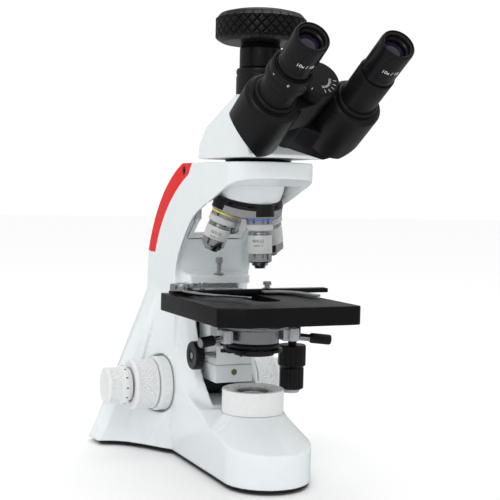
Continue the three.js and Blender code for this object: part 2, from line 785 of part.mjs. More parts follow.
const heightWheel = turned(
  [[0, -41], [10.5, -41], [11.5, -40], [11.5, -33], [10.5, -32], [0, -32]],
  MEDIUM,
);
add(
  "condenser_knob",
  join(
    bar(3, [-40, ...CONDENSER_AXIS], [6, ...CONDENSER_AXIS], COARSE),
    alongX(heightWheel, ...CONDENSER_AXIS),
  ),
  black,
);

// ---------- Nosepiece ----------
const turret = addGroup(
  microscope,
  [0, 0, SHOULDER_Z + APEX_ABOVE_SHOULDER],
  [TURRET_TILT, 0, 0],
);
const spinning = addGroup(turret, [0, 0, 0], [0, 0, TURRET_REST_TURN]);
const OBJECTIVES = [
  { name: "objective_40x", nose: 44.4, front: 4.6, turn: 0 },
  { name: "objective_100x", nose: 44.6, front: 4.2, turn: 90 },
  { name: "objective_4x", nose: 29, front: 8.5, turn: 180 },
  { name: "objective_10x", nose: 37, front: 6.4, turn: 270 },
];
const tiltDegrees = THREE.MathUtils.radToDeg(TURRET_TILT);

// From the turret's frame to an objective's own axis, its shoulder at z = 0.
const toObjective = (body, turn) =>
  body.translate([0, 0, -APEX_ABOVE_SHOULDER]).rotate([-tiltDegrees, 0, 0]).rotate([0, 0, turn]);

function turretBody() {
  const rim = TURRET_RADIUS;
  const body = turned([[0, -81.5], [5, -81.6], [rim, -74.4], [rim, -66.4], [0, -66.4]]);
  const threads = OBJECTIVES.map(({ turn }) => toObjective(disc(10.5, -8, 20, MEDIUM), turn));
  return cut(body, ...threads, disc(4.6, -FAR, FAR, COARSE));
}

function objective({ nose, front }) {
  const corners = [
    [0, -nose],
    [front, -nose],
    [front + 2.6, -nose + 5],
    [10.9, -nose * 0.66],
    [10.9, -9.4],
    [12, -8.6],
    [12, -3.4],
    [11.6, -GAP],
    [10.1, 0],
    [10.1, 5],
    [0, 5],
  ];
  const shank = turned(corners, MEDIUM);
  const mouth = disc(front - 1.4, -FAR, -nose + 2.4, COARSE);
  const frontLens = disc(front - 1.2, -nose + 1, -nose + 2.6, COARSE);
  return join(cut(shank, mouth), frontLens);
}

add("turret_body", turretBody(), silver, spinning);
for (const spec of OBJECTIVES) {
  add(spec.name, toObjective(objective(spec), spec.turn), silver, spinning);
}
const turretPivot = join(
  disc(4, -84.2, -60, COARSE),
  disc(6.6, -84.2, -82, MEDIUM),
  disc(28.6, -66, -63.6, FINE),
);
add("turret_pivot", turretPivot, blackMetal, turret);

function nosepieceHousing() {
  const dome = toTurret(turned([[0, -63.2], [28.2, -63.2], [28.2, -50], [26, -36], [0, -36]], FINE));
  const ceiling = block([-FAR, FAR], [-FAR, FAR], [DECK_BOTTOM - GAP, FAR]);
  const path = toTurret(disc(4.3, -FAR, -30, COARSE));
  const light = disc(8, 0, FAR, MEDIUM);
  const frontAway = block([-FAR, FAR], [-FAR, -17.7], [0, FAR]);
  return cut(dome, ceiling, path, light, frontAway);
}
add("nosepiece_housing", nosepieceHousing(), white);

const STOP_Y = 83;
add(
  "stop_screw",
  join(
    bar(2.4, [0, STOP_Y, 165.4], [0, STOP_Y, 187], COARSE),
    bar(3.6, [0, STOP_Y, 186], [0, STOP_Y, 190], COARSE),
    bar(5, [0, STOP_Y, SHELF_TOP + GAP], [0, STOP_Y, SHELF_TOP + 5], MEDIUM),
  ),
  silver,
);

// ---------- Head ----------
add("head_dovetail_ring", ring(15, 29.6, DECK_TOP - 3.6, 280.6, FINE), blackMetal);
const lockHead = turned([[0, 40], [7, 40], [7, 50], [6, 51], [0, 51]], MEDIUM);
add("head_lock_screw", alongX(join(disc(3, 30.4, 42, COARSE), lockHead), 0, 270.5), silver);

function headHousing() {
  const outline = [
    [-60.6, 283],
    [-58, HEAD_BOTTOM],
    [54, HEAD_BOTTOM],
    [54, 288],
    [33, 307],
    [10, 325],
    [4, 336.7],
    [-27, 336.7],
  ];
  const wedge = sideways(outline, -36, 36);
  const tower = disc(24, 300, 336.7, FINE);
  const eyePlane = block([-FAR, FAR], [-FAR, FAR], [-GAP / 3, FAR])
    .rotate([THREE.MathUtils.radToDeg(EYE_TILT), 0, 0])
    .translate(EYE_FRAME.toArray());
  const rearCorner = sideways([[10, 325.5], [33.5, 307], [70, 280], [70, 340], [24, 340]], -FAR, -22);
  const prismRoom = block([-15, 15], [-18, 15], [0, 318]);
  const lightUp = disc(9, 0, FAR, MEDIUM);
  return cut(join(wedge, tower), eyePlane, rearCorner, mirrored(rearCorner), prismRoom, lightUp);
}
add("head_housing", headHousing(), white);
add("beam_splitter", sideways([[-13, 288], [11, 288], [11, 312], [-13, 312]], -12, 12), glass);

const eyes = addGroup(microscope, EYE_FRAME.toArray(), [EYE_TILT, 0, 0]);

// Two circles of different size joined by their outer tangents.
function pearOutline(x, y, farRadius, nearRadius) {
  const length = Math.hypot(x, y);
  const towards = Math.atan2(y, x);
  const open = Math.PI / 2 + Math.asin((farRadius - nearRadius) / length);
  const outline = new THREE.Shape();
  outline.absarc(x, y, farRadius, towards - open, towards + open, false);
  outline.absarc(0, 0, nearRadius, towards + open, towards - open + 2 * Math.PI, false);
  outline.closePath();
  return outline;
}

const tubeAt = (sign, body) => body.translate([sign * TUBE_X, TUBE_Y, 0]);

// The hubs of the two wings are stacked on the hinge axis, the right one below.
function prismWing(sign, hubBottom, hubTop) {
  const nearHub = disc(HUB_RADIUS + 0.6, 0, FAR, FINE);
  const outboard = cut(tubeAt(sign, disc(WING_RADIUS, GAP, WING_TOP, FINE)), nearHub);
  const web = pearOutline(sign * TUBE_X, TUBE_Y, WING_RADIUS, HUB_RADIUS);
  const hub = slab(web, hubBottom, hubTop, 8);
  const keptWall = disc(HUB_RADIUS + 3, 0, FAR, MEDIUM);
  const room = cut(tubeAt(sign, disc(17, 6, WING_TOP - 6, MEDIUM)), keptWall);
  const bore = tubeAt(sign, disc(12.3, 20, FAR, MEDIUM));
  return cut(join(outboard, hub), room, bore, disc(6.4, 0, FAR, MEDIUM));
}

const HUB_MIDDLE = 31.5;
const hingePin = disc(6, GAP, 64, MEDIUM);
const dial = turned([
  [0, 63.2],
  [DIAL_RADIUS - 0.6, 63.2],
  [DIAL_RADIUS, 64],
  [DIAL_RADIUS, 73.5],
  [DIAL_RADIUS - 1.6, 75],
  [0, 75],
]);
add("ipd_dial", join(hingePin, dial), black, eyes);

const TUBE_TOP = 99.6;
function eyeTube(sign, radius) {
  const root = WING_TOP - 1;
  const tube = turned([
    [12, root],
    [15.2, root],
    [15.2, 80],
    [radius, 84],
    [radius, TUBE_TOP],
    [12, TUBE_TOP],
    [12, root],
  ]);
  return tubeAt(sign, tube);
}
const leftWing = prismWing(-1, HUB_MIDDLE + GAP / 2, WING_TOP);
const rightWing = prismWing(1, GAP, HUB_MIDDLE - GAP / 2);
add("prism_wing_left", join(leftWing, eyeTube(-1, 14.4)), black, eyes);
add("prism_wing_right", join(rightWing, eyeTube(1, 15.2)), black, eyes);
add("diopter_ring", tubeAt(-1, ring(14.8, 17.8, 85, TUBE_TOP, FINE)), black, eyes);

function eyepiece() {
  const shoulder = TUBE_TOP + GAP;
  return turned([
    [9, 45],
    [11.6, 45],
    [11.6, shoulder],
    [14, shoulder],
    [14, 126],
    [13.6, 133.6],
    [12.6, EYE_TOP],
    [11, 132],
    [11, 129],
    [9, 128.4],
    [9, 45],
  ]);
}
const eyeLens = () => turned([[0, 122], [9.2, 122], [9.2, 126], [5, 127.4], [0, 127.8]], MEDIUM);
for (const [side, sign] of sides) {
  add(`eyepiece_${side}`, tubeAt(sign, join(eyepiece(), eyeLens())), black, eyes);
}

// ---------- Camera on the vertical tube ----------
add(
  "trinocular_collar",
  turned([
    [17, TRINO_BOTTOM],
    [23, TRINO_BOTTOM],
    [23, 358],
    [21.6, 359.6],
    [17, 359.6],
    [17, TRINO_BOTTOM],
  ]),
  black,
);
const adapterTube = turned([
  [0, 345],
  [16.6, 345],
  [16.6, 360],
  [20.6, 360],
  [20.6, 378.4],
  [18, 381],
  [0, 381],
]);
add("camera_adapter", cut(adapterTube, disc(12, 0, FAR, MEDIUM)), black);

function cameraBody() {
  const rim = CAMERA_RADIUS;
  const body = turned([
    [0, 384],
    [24, 384],
    [24, 381.4],
    [34, 381.4],
    [rim, 385],
    [rim, 402.4],
    [35, 407],
    [0, 411],
  ]);
  return cut(body, disc(14, 0, 392, MEDIUM), block([-6.5, 6.5], [30, FAR], [388, 395]));
}
add("camera_body", cameraBody(), black);

// ---------- Middle of the outer box ----------
microscope.updateMatrixWorld(true);
const outer = new THREE.Box3().setFromObject(microscope, true);
microscope.position.y = -(outer.min.y + outer.max.y) / 2;

export default microscope;
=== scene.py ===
# Trinocular laboratory microscope: its looks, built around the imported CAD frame.
# Shapes are in millimetres: the optical axis is at x = y = 0, the floor at z = 0 and the user at -Y.
import math

import bmesh
import bpy
from mathutils import Matrix, Vector

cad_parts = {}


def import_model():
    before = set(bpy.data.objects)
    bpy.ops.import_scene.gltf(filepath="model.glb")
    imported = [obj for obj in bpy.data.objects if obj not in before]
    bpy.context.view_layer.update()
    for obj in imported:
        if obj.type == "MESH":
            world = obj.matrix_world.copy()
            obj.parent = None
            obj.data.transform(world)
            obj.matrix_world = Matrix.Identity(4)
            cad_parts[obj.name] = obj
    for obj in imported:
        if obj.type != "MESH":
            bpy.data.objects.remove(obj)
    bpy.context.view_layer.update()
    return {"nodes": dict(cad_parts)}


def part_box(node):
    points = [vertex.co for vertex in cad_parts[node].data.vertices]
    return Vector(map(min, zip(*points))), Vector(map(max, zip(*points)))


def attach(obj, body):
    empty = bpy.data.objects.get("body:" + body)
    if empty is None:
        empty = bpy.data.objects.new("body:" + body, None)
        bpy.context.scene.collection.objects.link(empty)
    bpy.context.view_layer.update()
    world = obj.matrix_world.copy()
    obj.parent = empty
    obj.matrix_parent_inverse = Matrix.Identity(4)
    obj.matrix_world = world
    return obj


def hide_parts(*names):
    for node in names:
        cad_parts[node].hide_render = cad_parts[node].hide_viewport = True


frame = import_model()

MM = 0.001
collector_low, collector_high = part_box("collector_ring")
AXIS_Y = (collector_low.y + collector_high.y) / 2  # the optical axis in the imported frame, in metres
HERE = Matrix()
SIDES = (("left", -1), ("right", 1))


# ---------- Places ----------
def moved(x, y, z):
    return Matrix.Translation((x, y, z))


def turned(axis, degrees):
    return Matrix.Rotation(math.radians(degrees), 4, axis)


def along_x(sign, y, z):
    """A frame at (0, y, z) whose Z axis points to +X or -X."""
    return moved(0, y, z) @ turned("Y", 90 * sign)


def between(start, end):
    """A frame at start whose Z axis points to end."""
    start, end = Vector(start), Vector(end)
    spin = (end - start).to_track_quat("Z", "Y").to_matrix().to_4x4()
    return Matrix.Translation(start) @ spin


EYES = moved(0, -48.2, 302.5) @ turned("X", 57.8)
TURRET = moved(0, 0, 310.3) @ turned("X", 16)
TUBE_X, TUBE_Y = 36.1, -10.5  # middle of an eyepiece tube in the EYES frame
STAGE_DRIVE = moved(50, 24, 0)
STOP_SCREW = moved(0, 83, 0)
FILTER_PIN = moved(-21.5, 17.2, 0)
SPRING_PIN = moved(-53, 43, 0)
CONDENSER_SHAFT = along_x(-1, 46.5, 103)
HEAD_LOCK = along_x(1, 0, 270.5)
DIMMER = along_x(1, 72, 26)


def focus_shaft(sign):
    return along_x(sign, 120.3, 65.8)


def handle_pin(sign):
    return along_x(sign, 80.5, 271)


def world(at):
    placed = at.copy()
    placed.translation = at.translation * MM + Vector((0, AXIS_Y, 0))
    return placed


# ---------- Mesh helpers ----------
def linked(name, data):
    """A new object that is in the scene."""
    obj = bpy.data.objects.new(name, data)
    bpy.context.scene.collection.objects.link(obj)
    return obj


def baked(obj):
    """The object's mesh with its modifiers or its letters worked out."""
    bpy.context.view_layer.update()
    graph = bpy.context.evaluated_depsgraph_get()
    return bpy.data.meshes.new_from_object(obj.evaluated_get(graph))


def make(name, points, faces, at=HERE):
    mesh = bpy.data.meshes.new(name)
    mesh.from_pydata([Vector(p) * MM for p in points], [], faces)
    work = bmesh.new()
    work.from_mesh(mesh)
    bmesh.ops.recalc_face_normals(work, faces=work.faces)
    work.to_mesh(mesh)
    work.free()
    obj = linked(name, mesh)
    obj.matrix_world = world(at)
    return obj


def apply(obj):
    """Turns the object's modifiers into its mesh."""
    mesh = baked(obj)
    obj.modifiers.clear()
    obj.data = mesh
    return obj


def carve(obj, *tools, operation="DIFFERENCE"):
    for tool in tools:
        cut = obj.modifiers.new("cut", "BOOLEAN")
        cut.operation = operation
        cut.object = tool
        cut.solver = "EXACT"
    apply(obj)
    for tool in tools:
        bpy.data.objects.remove(tool)
    return obj


def weld(obj, *others):
    return carve(obj, *others, operation="UNION")


def joined(parts):
    """One object with the meshes of all parts, in the frame of the first."""
    first = parts[0]
    back = first.matrix_world.inverted()
    work = bmesh.new()
    for part in parts:
        part.data.transform(back @ part.matrix_world)
        work.from_mesh(part.data)
    mesh = bpy.data.meshes.new(first.name)
    work.to_mesh(mesh)
    work.free()
    for part in parts[1:]:
        bpy.data.objects.remove(part)
    first.data = mesh
    return first


def soften(obj, width, segments=3, degrees=30):
    bevel = obj.modifiers.new("soften", "BEVEL")
    bevel.width = width * MM
    bevel.segments = segments
    bevel.limit_method = "ANGLE"
    bevel.angle_limit = math.radians(degrees)
    bevel.use_clamp_overlap = True
    return apply(obj)


def melt(obj, voxel, rounds, strength=0.5):
    """Joins everything into one skin and rounds its edges, as paint and casting do."""
    remesh = obj.modifiers.new("melt", "REMESH")
    remesh.mode = "VOXEL"
    remesh.voxel_size = voxel * MM
    smooth = obj.modifiers.new("even", "SMOOTH")
    smooth.factor = strength
    smooth.iterations = rounds
    return apply(obj)


def rounded(corners, radius, closed=True, steps=3):
    """The outline with each corner turned into a short curve; corners on the axis x = 0 stay."""
    count = len(corners)
    outline = []
    for i, corner in enumerate(corners):
        here = Vector(corner)
        ends = not closed and i in (0, count - 1)
        if ends or radius == 0 or (abs(here.x) < 1e-6 and not closed):
            outline.append(here)
            continue
        before = Vector(corners[i - 1]) - here
        after = Vector(corners[(i + 1) % count]) - here
        reach = min(radius, before.length * 0.45, after.length * 0.45)
        start = here + before.normalized() * reach
        end = here + after.normalized() * reach
        for step in range(steps + 1):
            t = step / steps
            outline.append(start * (1 - t) ** 2 + here * 2 * t * (1 - t) + end * t * t)
    return outline


def rows(start, end, count):
    """Points from start to end, both kept, for a stretch of a profile that carries a pattern."""
    start, end = Vector(start), Vector(end)
    return [start.lerp(end, i / count) for i in range(count + 1)]


def lathe(name, profile, at=HERE, sides=96, ripple=None, closed=False):
    """A profile of (radius, z) turned about Z: open from axis to axis, or closed for a ring."""
    points, rings = [], []
    for r, z in profile:
        if r < 1e-6:
            rings.append([len(points)])
            points.append((0, 0, z))
            continue
        rings.append(list(range(len(points), len(points) + sides)))
        for k in range(sides):
            angle = 2 * math.pi * k / sides
            reach = r + (ripple(angle, r, z) if ripple else 0)
            points.append((reach * math.cos(angle), reach * math.sin(angle), z))
    faces = []
    pairs = list(zip(rings, rings[1:]))
    if closed:
        pairs.append((rings[-1], rings[0]))
    for a, b in pairs:
        if len(a) == 1 and len(b) == 1:
            continue
        for k in range(sides):
            n = (k + 1) % sides
            if len(a) == 1:
                faces.append((a[0], b[k], b[n]))
            elif len(b) == 1:
                faces.append((a[k], a[n], b[0]))
            else:
                faces.append((a[k], a[n], b[n], b[k]))
    return make(name, points, faces, at)


def spun(name, corners, edge, at=HERE, sides=96, ripple=None, closed=False):
    """A turned piece with rounded corners."""
    return lathe(name, rounded(corners, edge, closed), at, sides, ripple, closed)


def disc(name, radius, bottom, top, at=HERE, edge=0.4, sides=64):
    corners = [(0, bottom), (radius, bottom), (radius, top), (0, top)]
    return spun(name, corners, edge, at, sides)


def ring(name, inner, outer, bottom, top, at=HERE, edge=0.4, sides=96, ripple=None):
    corners = [(inner, bottom), (outer, bottom), (outer, top), (inner, top)]
    return spun(name, corners, edge, at, sides, ripple, closed=True)


def rod(name, radius, start, end, edge=0.3, sides=32):
    length = (Vector(end) - Vector(start)).length
    return disc(name, radius, 0, length, between(start, end), edge, sides)


def skin(name, rings, at=HERE):
    """A closed skin over rings with the same number of points."""
    count = len(rings[0])
    points = [p for one in rings for p in one]
    faces = [tuple(range(count)), tuple(range(len(points) - count, len(points)))]
    for i in range(len(rings) - 1):
        for k in range(count):
            n = (k + 1) % count
            faces.append((i * count + k, i * count + n, (i + 1) * count + n, (i + 1) * count + k))
    return make(name, points, faces, at)


AXES = {"z": lambda a, b, c: (a, b, c), "x": lambda a, b, c: (c, a, b), "y": lambda a, b, c: (a, c, b)}


def loft(name, outlines, levels, axis="z", at=HERE):
    """Flat outlines with the same number of points, stacked along an axis."""
    place = AXES[axis]
    rings = [[place(p[0], p[1], level) for p in outline] for outline, level in zip(outlines, levels)]
    return skin(name, rings, at)


def prism(name, outline, low, high, axis="z", at=HERE):
    return loft(name, [outline, outline], [low, high], axis, at)


def block(name, x, y, z, at=HERE):
    return prism(name, [(x[0], y[0]), (x[1], y[0]), (x[1], y[1]), (x[0], y[1])], z[0], z[1], "z", at)


def curve(start, first, second, end, steps=12):
    """Points of a cubic Bezier, without its start."""
    a, b, c, d = (Vector(p) for p in (start, first, second, end))
    points = []
    for i in range(1, steps + 1):
        t = i / steps
        points.append(a * (1 - t) ** 3 + b * 3 * t * (1 - t) ** 2 + c * 3 * t * t * (1 - t) + d * t ** 3)
    return points


def through(knots, steps=6):
    """A smooth line through the knots (Catmull-Rom)."""
    knots = [Vector(k) for k in knots]
    ends = [knots[0] * 2 - knots[1], *knots, knots[-1] * 2 - knots[-2]]
    line = [knots[0]]
    for a, b, c, d in zip(ends, ends[1:], ends[2:], ends[3:]):
        square = 2 * a - 5 * b + 4 * c - d
        cube = 3 * b - a - 3 * c + d
        for i in range(1, steps + 1):
            t = i / steps
            line.append(0.5 * (2 * b + (c - a) * t + square * t * t + cube * t ** 3))
    return line


def arc(x, y, radius, start, end, steps=24):
    angles = [math.radians(start + (end - start) * i / steps) for i in range(steps + 1)]
    return [(x + radius * math.cos(a), y + radius * math.sin(a)) for a in angles]


def crown(radius, base, rise, angles):
    """The bulge of a lens above its edge."""
    return [(radius * math.cos(a), base + rise * math.sin(a)) for a in angles]


def settle(node, values):
    for socket, value in values.items():
        node.inputs[socket].default_value = value


def finish(
    name, color, roughness, metallic=0.0, coat=0.0, tone=0.05, grain=260,
    wear=0.06, relief=0.05, fine=1500, shine=0.5,
):
    """A procedural surface: its colour, its gloss and its micro-relief all vary a little."""
    material = bpy.data.materials.new(name)
    material.use_nodes = True
    nodes, links = material.node_tree.nodes, material.node_tree.links
    shader = nodes["Principled BSDF"]
    settle(shader, {"Metallic": metallic, "Coat Weight": coat, "Coat Roughness": 0.08})
    settle(shader, {"Specular IOR Level": shine})
    place = nodes.new("ShaderNodeTexCoord").outputs["Object"]

    def noise(scale, detail):
        texture = nodes.new("ShaderNodeTexNoise")
        settle(texture, {"Scale": scale, "Detail": detail})
        links.new(place, texture.inputs["Vector"])
        return texture.outputs["Fac"]

    ramp = nodes.new("ShaderNodeValToRGB")
    ramp.color_ramp.elements[0].position = 0.3
    ramp.color_ramp.elements[1].position = 0.7
    ramp.color_ramp.elements[0].color = [c * (1 - tone) for c in color] + [1]
    ramp.color_ramp.elements[1].color = [min(1, c * (1 + tone)) for c in color] + [1]
    links.new(noise(grain, 3), ramp.inputs["Fac"])
    links.new(ramp.outputs["Color"], shader.inputs["Base Color"])
    span = nodes.new("ShaderNodeMapRange")
    settle(span, {"To Min": max(0.02, roughness - wear), "To Max": roughness + wear})
    links.new(noise(grain * 0.4, 5), span.inputs["Value"])
    links.new(span.outputs["Result"], shader.inputs["Roughness"])
    bump = nodes.new("ShaderNodeBump")
    settle(bump, {"Strength": relief, "Distance": 0.0002})
    links.new(noise(fine, 2), bump.inputs["Height"])
    links.new(bump.outputs["Normal"], shader.inputs["Normal"])
    return material


WHITE = finish(
    "white_gloss_paint", (0.845, 0.89, 0.905), 0.26, coat=0.3, tone=0.012, grain=60,
    relief=0.03, fine=420,
)
KNOB_WHITE = finish("white_moulding", (0.83, 0.845, 0.845), 0.38, tone=0.02, relief=0.05)
RED = finish(
    "red_moulding", (0.80, 0.016, 0.018), 0.42, tone=0.05, relief=0.06, fine=1100,
    shine=0.2,
)
BLACK = finish(
    "black_moulding", (0.007, 0.007, 0.008), 0.33, tone=0.12, relief=0.12, fine=1900,
    shine=0.3,
)
EYE_BLACK = finish(
    "black_eye_tube", (0.006, 0.006, 0.007), 0.26, tone=0.1, relief=0.06, shine=0.3,
)
STAGE_BLACK = finish(
    "black_stage_coat", (0.005, 0.005, 0.006), 0.34, tone=0.15, wear=0.08,
    relief=0.1, shine=0.2,
)
ANODISED = finish(
    "black_anodised_metal", (0.018, 0.018, 0.02), 0.3, metallic=0.5, tone=0.12,
    relief=0.05,
)
# Real grey paint on the condenser parts and the x knob's collar; inside the lamp collector the same grey is
# painted shade.
GREY = finish(
    "grey_paint_and_painted_shade", (0.50, 0.53, 0.545), 0.38, metallic=0.1, tone=0.04, relief=0.08,
    fine=900,
)
CHROME = finish(
    "bright_chrome_metal", (0.60, 0.61, 0.62), 0.14, metallic=1.0, tone=0.03,
    relief=0.02,
)
SATIN = finish(
    "satin_chrome_metal", (0.52, 0.53, 0.54), 0.30, metallic=0.85, tone=0.03,
    relief=0.05, fine=2400,
)
STEEL = finish(
    "turned_steel_metal", (0.45, 0.46, 0.47), 0.26, metallic=1.0, tone=0.06,
    relief=0.05, fine=2400,
)
BRASS = finish("brass_metal", (0.50, 0.36, 0.13), 0.35, metallic=1.0, tone=0.1)
RUBBER = finish("black_rubber", (0.018, 0.018, 0.018), 0.75, tone=0.15, relief=0.3, fine=1500)
LENS = finish(
    "dark_coated_lens", (0.018, 0.010, 0.030), 0.04, coat=1.0, tone=0.2, wear=0.015,
    relief=0.0,
)
CLEAR = finish(
    "clear_lens", (0.86, 0.88, 0.90), 0.06, coat=1.0, tone=0.03, wear=0.02, relief=0.0,
)
settle(CLEAR.node_tree.nodes["Principled BSDF"], {"Transmission Weight": 0.85})
BOARD = finish("circuit_board_green", (0.02, 0.16, 0.06), 0.4, tone=0.2, grain=900)
PRINT = finish("white_print", (0.72, 0.73, 0.74), 0.5, tone=0.05)
BARREL = finish(
    "pale_satin_metal", (0.70, 0.71, 0.71), 0.42, metallic=0.35, tone=0.03, fine=2400,
)
DULL = finish("dull_metal", (0.33, 0.33, 0.335), 0.4, metallic=0.2, tone=0.04, fine=2400)
DARK_PRINT = finish("dark_print", (0.03, 0.03, 0.035), 0.5, tone=0.1)
BLUE = finish("blue_band", (0.03, 0.16, 0.75), 0.3, tone=0.05)
YELLOW = finish("yellow_band", (0.86, 0.72, 0.02), 0.3, tone=0.05)
PALE = finish("pale_band", (0.75, 0.76, 0.77), 0.3, tone=0.05)
BAND_RED = finish("red_band", (0.75, 0.03, 0.03), 0.3, tone=0.05)


def piece(obj, material, body, replaces=(), sharp=40):
    """Finishes a piece: its surface, its shading and the CAD body that it rides on."""
    mesh = obj.data
    if not mesh.materials:
        mesh.materials.append(material)
    for polygon in mesh.polygons:
        polygon.use_smooth = True
    mesh.set_sharp_from_angle(angle=math.radians(sharp))
    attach(obj, body)
    if replaces:
        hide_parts(*replaces)
    return obj


def paint_where(obj, base, extra, test):
    """Gives the faces whose middle passes the test, in the piece's own millimetres, another material."""
    mesh = obj.data
    if not mesh.materials:
        mesh.materials.append(base)
    mesh.materials.append(extra)
    index = len(mesh.materials) - 1
    for polygon in mesh.polygons:
        x, y, z = polygon.center / MM
        if test(math.hypot(x, y), z):
            polygon.material_index = index
    return obj


# ---------- Stand: one painted casting ----------
ARM_HALF = 38.6
TOE_Y = -28.7
TOE_R = 39.2
FLOOR_Z = 4.6
SHOULDER_Z = 57.9
SKIRT_TOP = 155
REAR_LEAN = 0.08  # the rear wall leans forward by this share of the height
REAR_FROM = 150  # the wall leans only behind this y
CHANNEL_HALF = 25
RECESS_HALF = 31.8
WINDOW, SILL = 28.4, 206.8  # half the width of the window, and its lower edge

# Front edge of the arm: its y at each height, on the side face, at the recess and at the channel.
FRONT_LEVELS = [
    50, 58, 62, 67, 72, 80, 90, 107, 123, 135, 150, 166, 177, 190, 207, 222.5, 234.5, 246, 256.5, 262,
    264,
]
OUTER_EDGE = [34, 40, 55, 69, 76, 86, 94, 103, 106, 107, 105, 101, 98, 92, 78, 62, 42, 7.6, -21, -44, -60]
INNER_EDGE = [30, 40, 47, 52, 56, 61, 66, 75, 83, 88, 93, 98, 102, 102, 95, 77, 56, 20, -15, -40, -60]
MOUTH_EDGE = [26, 30, 34, 40, 46, 55, 62, 66, 73, 79, 88, 97, 102, 102, 95, 77, 56, 20, -15, -40, -60]

# The crease round the toe: (y, height).
CREASE = [(-70, 33), (-42, 36), (-20, 40), (3, 46), (27, 56), (60, 62)]


def between_knots(knots, value):
    for (x0, y0), (x1, y1) in zip(knots, knots[1:]):
        if value <= x1:
            return y0 + (y1 - y0) * (value - x0) / (x1 - x0)
    return knots[-1][1]


def arm_section(front):
    rear = [(186, 50), (176.2, 191), (157, 191), *curve((157, 191), (146, 222), (118, 250), (70, 268), 10)]
    deck = [(62, 277.8), (-62, 277.8)]
    edge = through(list(zip(front, FRONT_LEVELS)), 3)
    return [*rear, *deck, *reversed(edge)]


def arm_column():
    sections = [OUTER_EDGE, INNER_EDGE, MOUTH_EDGE, MOUTH_EDGE, INNER_EDGE, OUTER_EDGE]
    places = [-39, -RECESS_HALF, -25.5, 25.5, RECESS_HALF, 39]
    column = loft("column", [arm_section(front) for front in sections], places, "x")
    plan = [*arc(0, -20, ARM_HALF, 180, 360, 48), (ARM_HALF, 190), (-ARM_HALF, 190)]
    return carve(column, prism("plan", plan, 0, 300), operation="INTERSECT")


def skirt_half(sign):
    """The foot flares to the rear corner: a low wall, a crease, then a side that rises to the arm."""
    start = (ARM_HALF, 98)
    low = [start, *curve(start, (52, 114), (64, 152), (94.5, 156), 14), (98, 179), (92, 189.5)]
    crease = [start, *curve(start, (50, 114), (60, 152), (84, 158), 14), (91, 176), (86, 189.5)]
    walls = [5.5 + 17 * between_knots([(ARM_HALF, 0), (84, 1), (100, 1)], x) for x, _ in crease]
    rings = []
    for wall_share, rise in [(0, 0), (0.3, 0), (1, 0), *[(1, (i + 1) / 8) for i in range(8)]]:
        ring_points = []
        for (x0, y0), (x1, y1), top in zip(low, crease, walls):
            x = x0 + (x1 - x0) * wall_share
            y = y0 + (y1 - y0) * wall_share
            z = FLOOR_Z + (top - FLOOR_Z) * wall_share + (SKIRT_TOP - top) * rise
            lean = REAR_LEAN * z if y > REAR_FROM else 0
            ring_points.append((sign * (x - (x - ARM_HALF) * rise), y - lean, z))
        first, last = ring_points[0], ring_points[-1]
        rings.append([(0, first[1], first[2]), *ring_points, (0, last[1], last[2])])
    return skin("skirt", rings)


def toe_outline(inset=0.0, rear=112):
    half = TOE_R - inset
    return [
        *arc(0, TOE_Y, half, 180, 360, 64), (half, 0), (half, 30), (half, rear), (-half, rear),
        (-half, 30), (-half, 0),
    ]


def toe():
    """An upright wall whose shoulder climbs from the crease to the foot of the lamp collector."""
    rim = 29  # radius at which the shoulder meets the lamp collector
    beyond = 1.2  # the cutting skin reaches past the wall by this factor
    wall = prism("toe", toe_outline(), FLOOR_Z, 90)
    foot, slope, top = [], [], []
    for point in toe_outline(rear=60):
        out = Vector(point)
        near = out.normalized() * rim
        fall = between_knots(CREASE, out.y) - SHOULDER_Z
        foot.append((near.x, near.y, SHOULDER_Z))
        height = SHOULDER_Z + fall * (out.length * beyond - rim) / (out.length - rim)
        slope.append((out.x * beyond, out.y * beyond, height))
        top.append((out.x * beyond, out.y * beyond, 120))
    above = skin("above", [foot, slope, top])
    behind = block("behind", (-60, 60), (60, 120), (58, 120))
    return carve(wall, above, behind)


def stand():
    shelf = prism("shelf", [(78, 165.6), (78.6, 173), (108, 176.4), (108, 165.6)], -30.4, 30.4, "x")
    stop = ring("stop", 5.2, 22, 38.2, 51, focus_shaft(1))
    solids = [toe(), arm_column(), skirt_half(1), skirt_half(-1)]
    for solid in solids:
        carve(solid, *hollows())
    solids += [carve(shelf, disc("stop_bore", 2.9, 160, 180, STOP_SCREW, 0, 24)), stop]
    return melt(joined(solids), 1.2, 4)


def hollows():
    """The channel of the stage slide, the finger window, the turret's room and the bores."""
    recesses = [disc("recess", 28.3, 38.4, 90, focus_shaft(sign), 0, 96) for sign in (-1, 1)]
    return [
        block("channel", (-CHANNEL_HALF, CHANNEL_HALF), (0, 118), (59, 166)),
        block("well", (-23, 23), (88, 132), (12, 80)),
        prism("window", [(-WINDOW, SILL), (WINDOW, SILL), (WINDOW, 247), (-WINDOW, 247)], 60, 200, "y"),
        prism(
            "turret_room", [(-18, 200), (76, 200), (76, 246), (52, 263), (-18, 263)], -RECESS_HALF,
            RECESS_HALF, "x",
        ),
        lathe("sweep", [(0, -135), (46, -135), (36.4, -98), (36.4, -72), (0, -72)], TURRET, 96),
        disc("seat", 30, 273.8, 300, HERE, 0, 96),
        disc("light", 12, 240, 300, HERE, 0, 48),
        disc("lock_bore", 3.4, 20, 60, HEAD_LOCK, 0, 32),
        disc("shafts", 5.0, -60, 60, focus_shaft(1), 0, 32),
        *recesses,
        block("panel", (-29.9, 23.9), (172, 200), (14.1, 34.5)),
        disc("dimmer_bore", 3.8, 20, 60, DIMMER, 0, 32),
        disc("lamp_bore", 17.4, 45, 70, HERE, 0, 64),
    ]


piece(stand(), WHITE, "stand", ["base_casting", "arm_casting"], sharp=180)


# ---------- Patterns for turned pieces ----------
def step_between(low, high, value):
    t = min(1, max(0, (value - low) / (high - low)))
    return t * t * (3 - 2 * t)


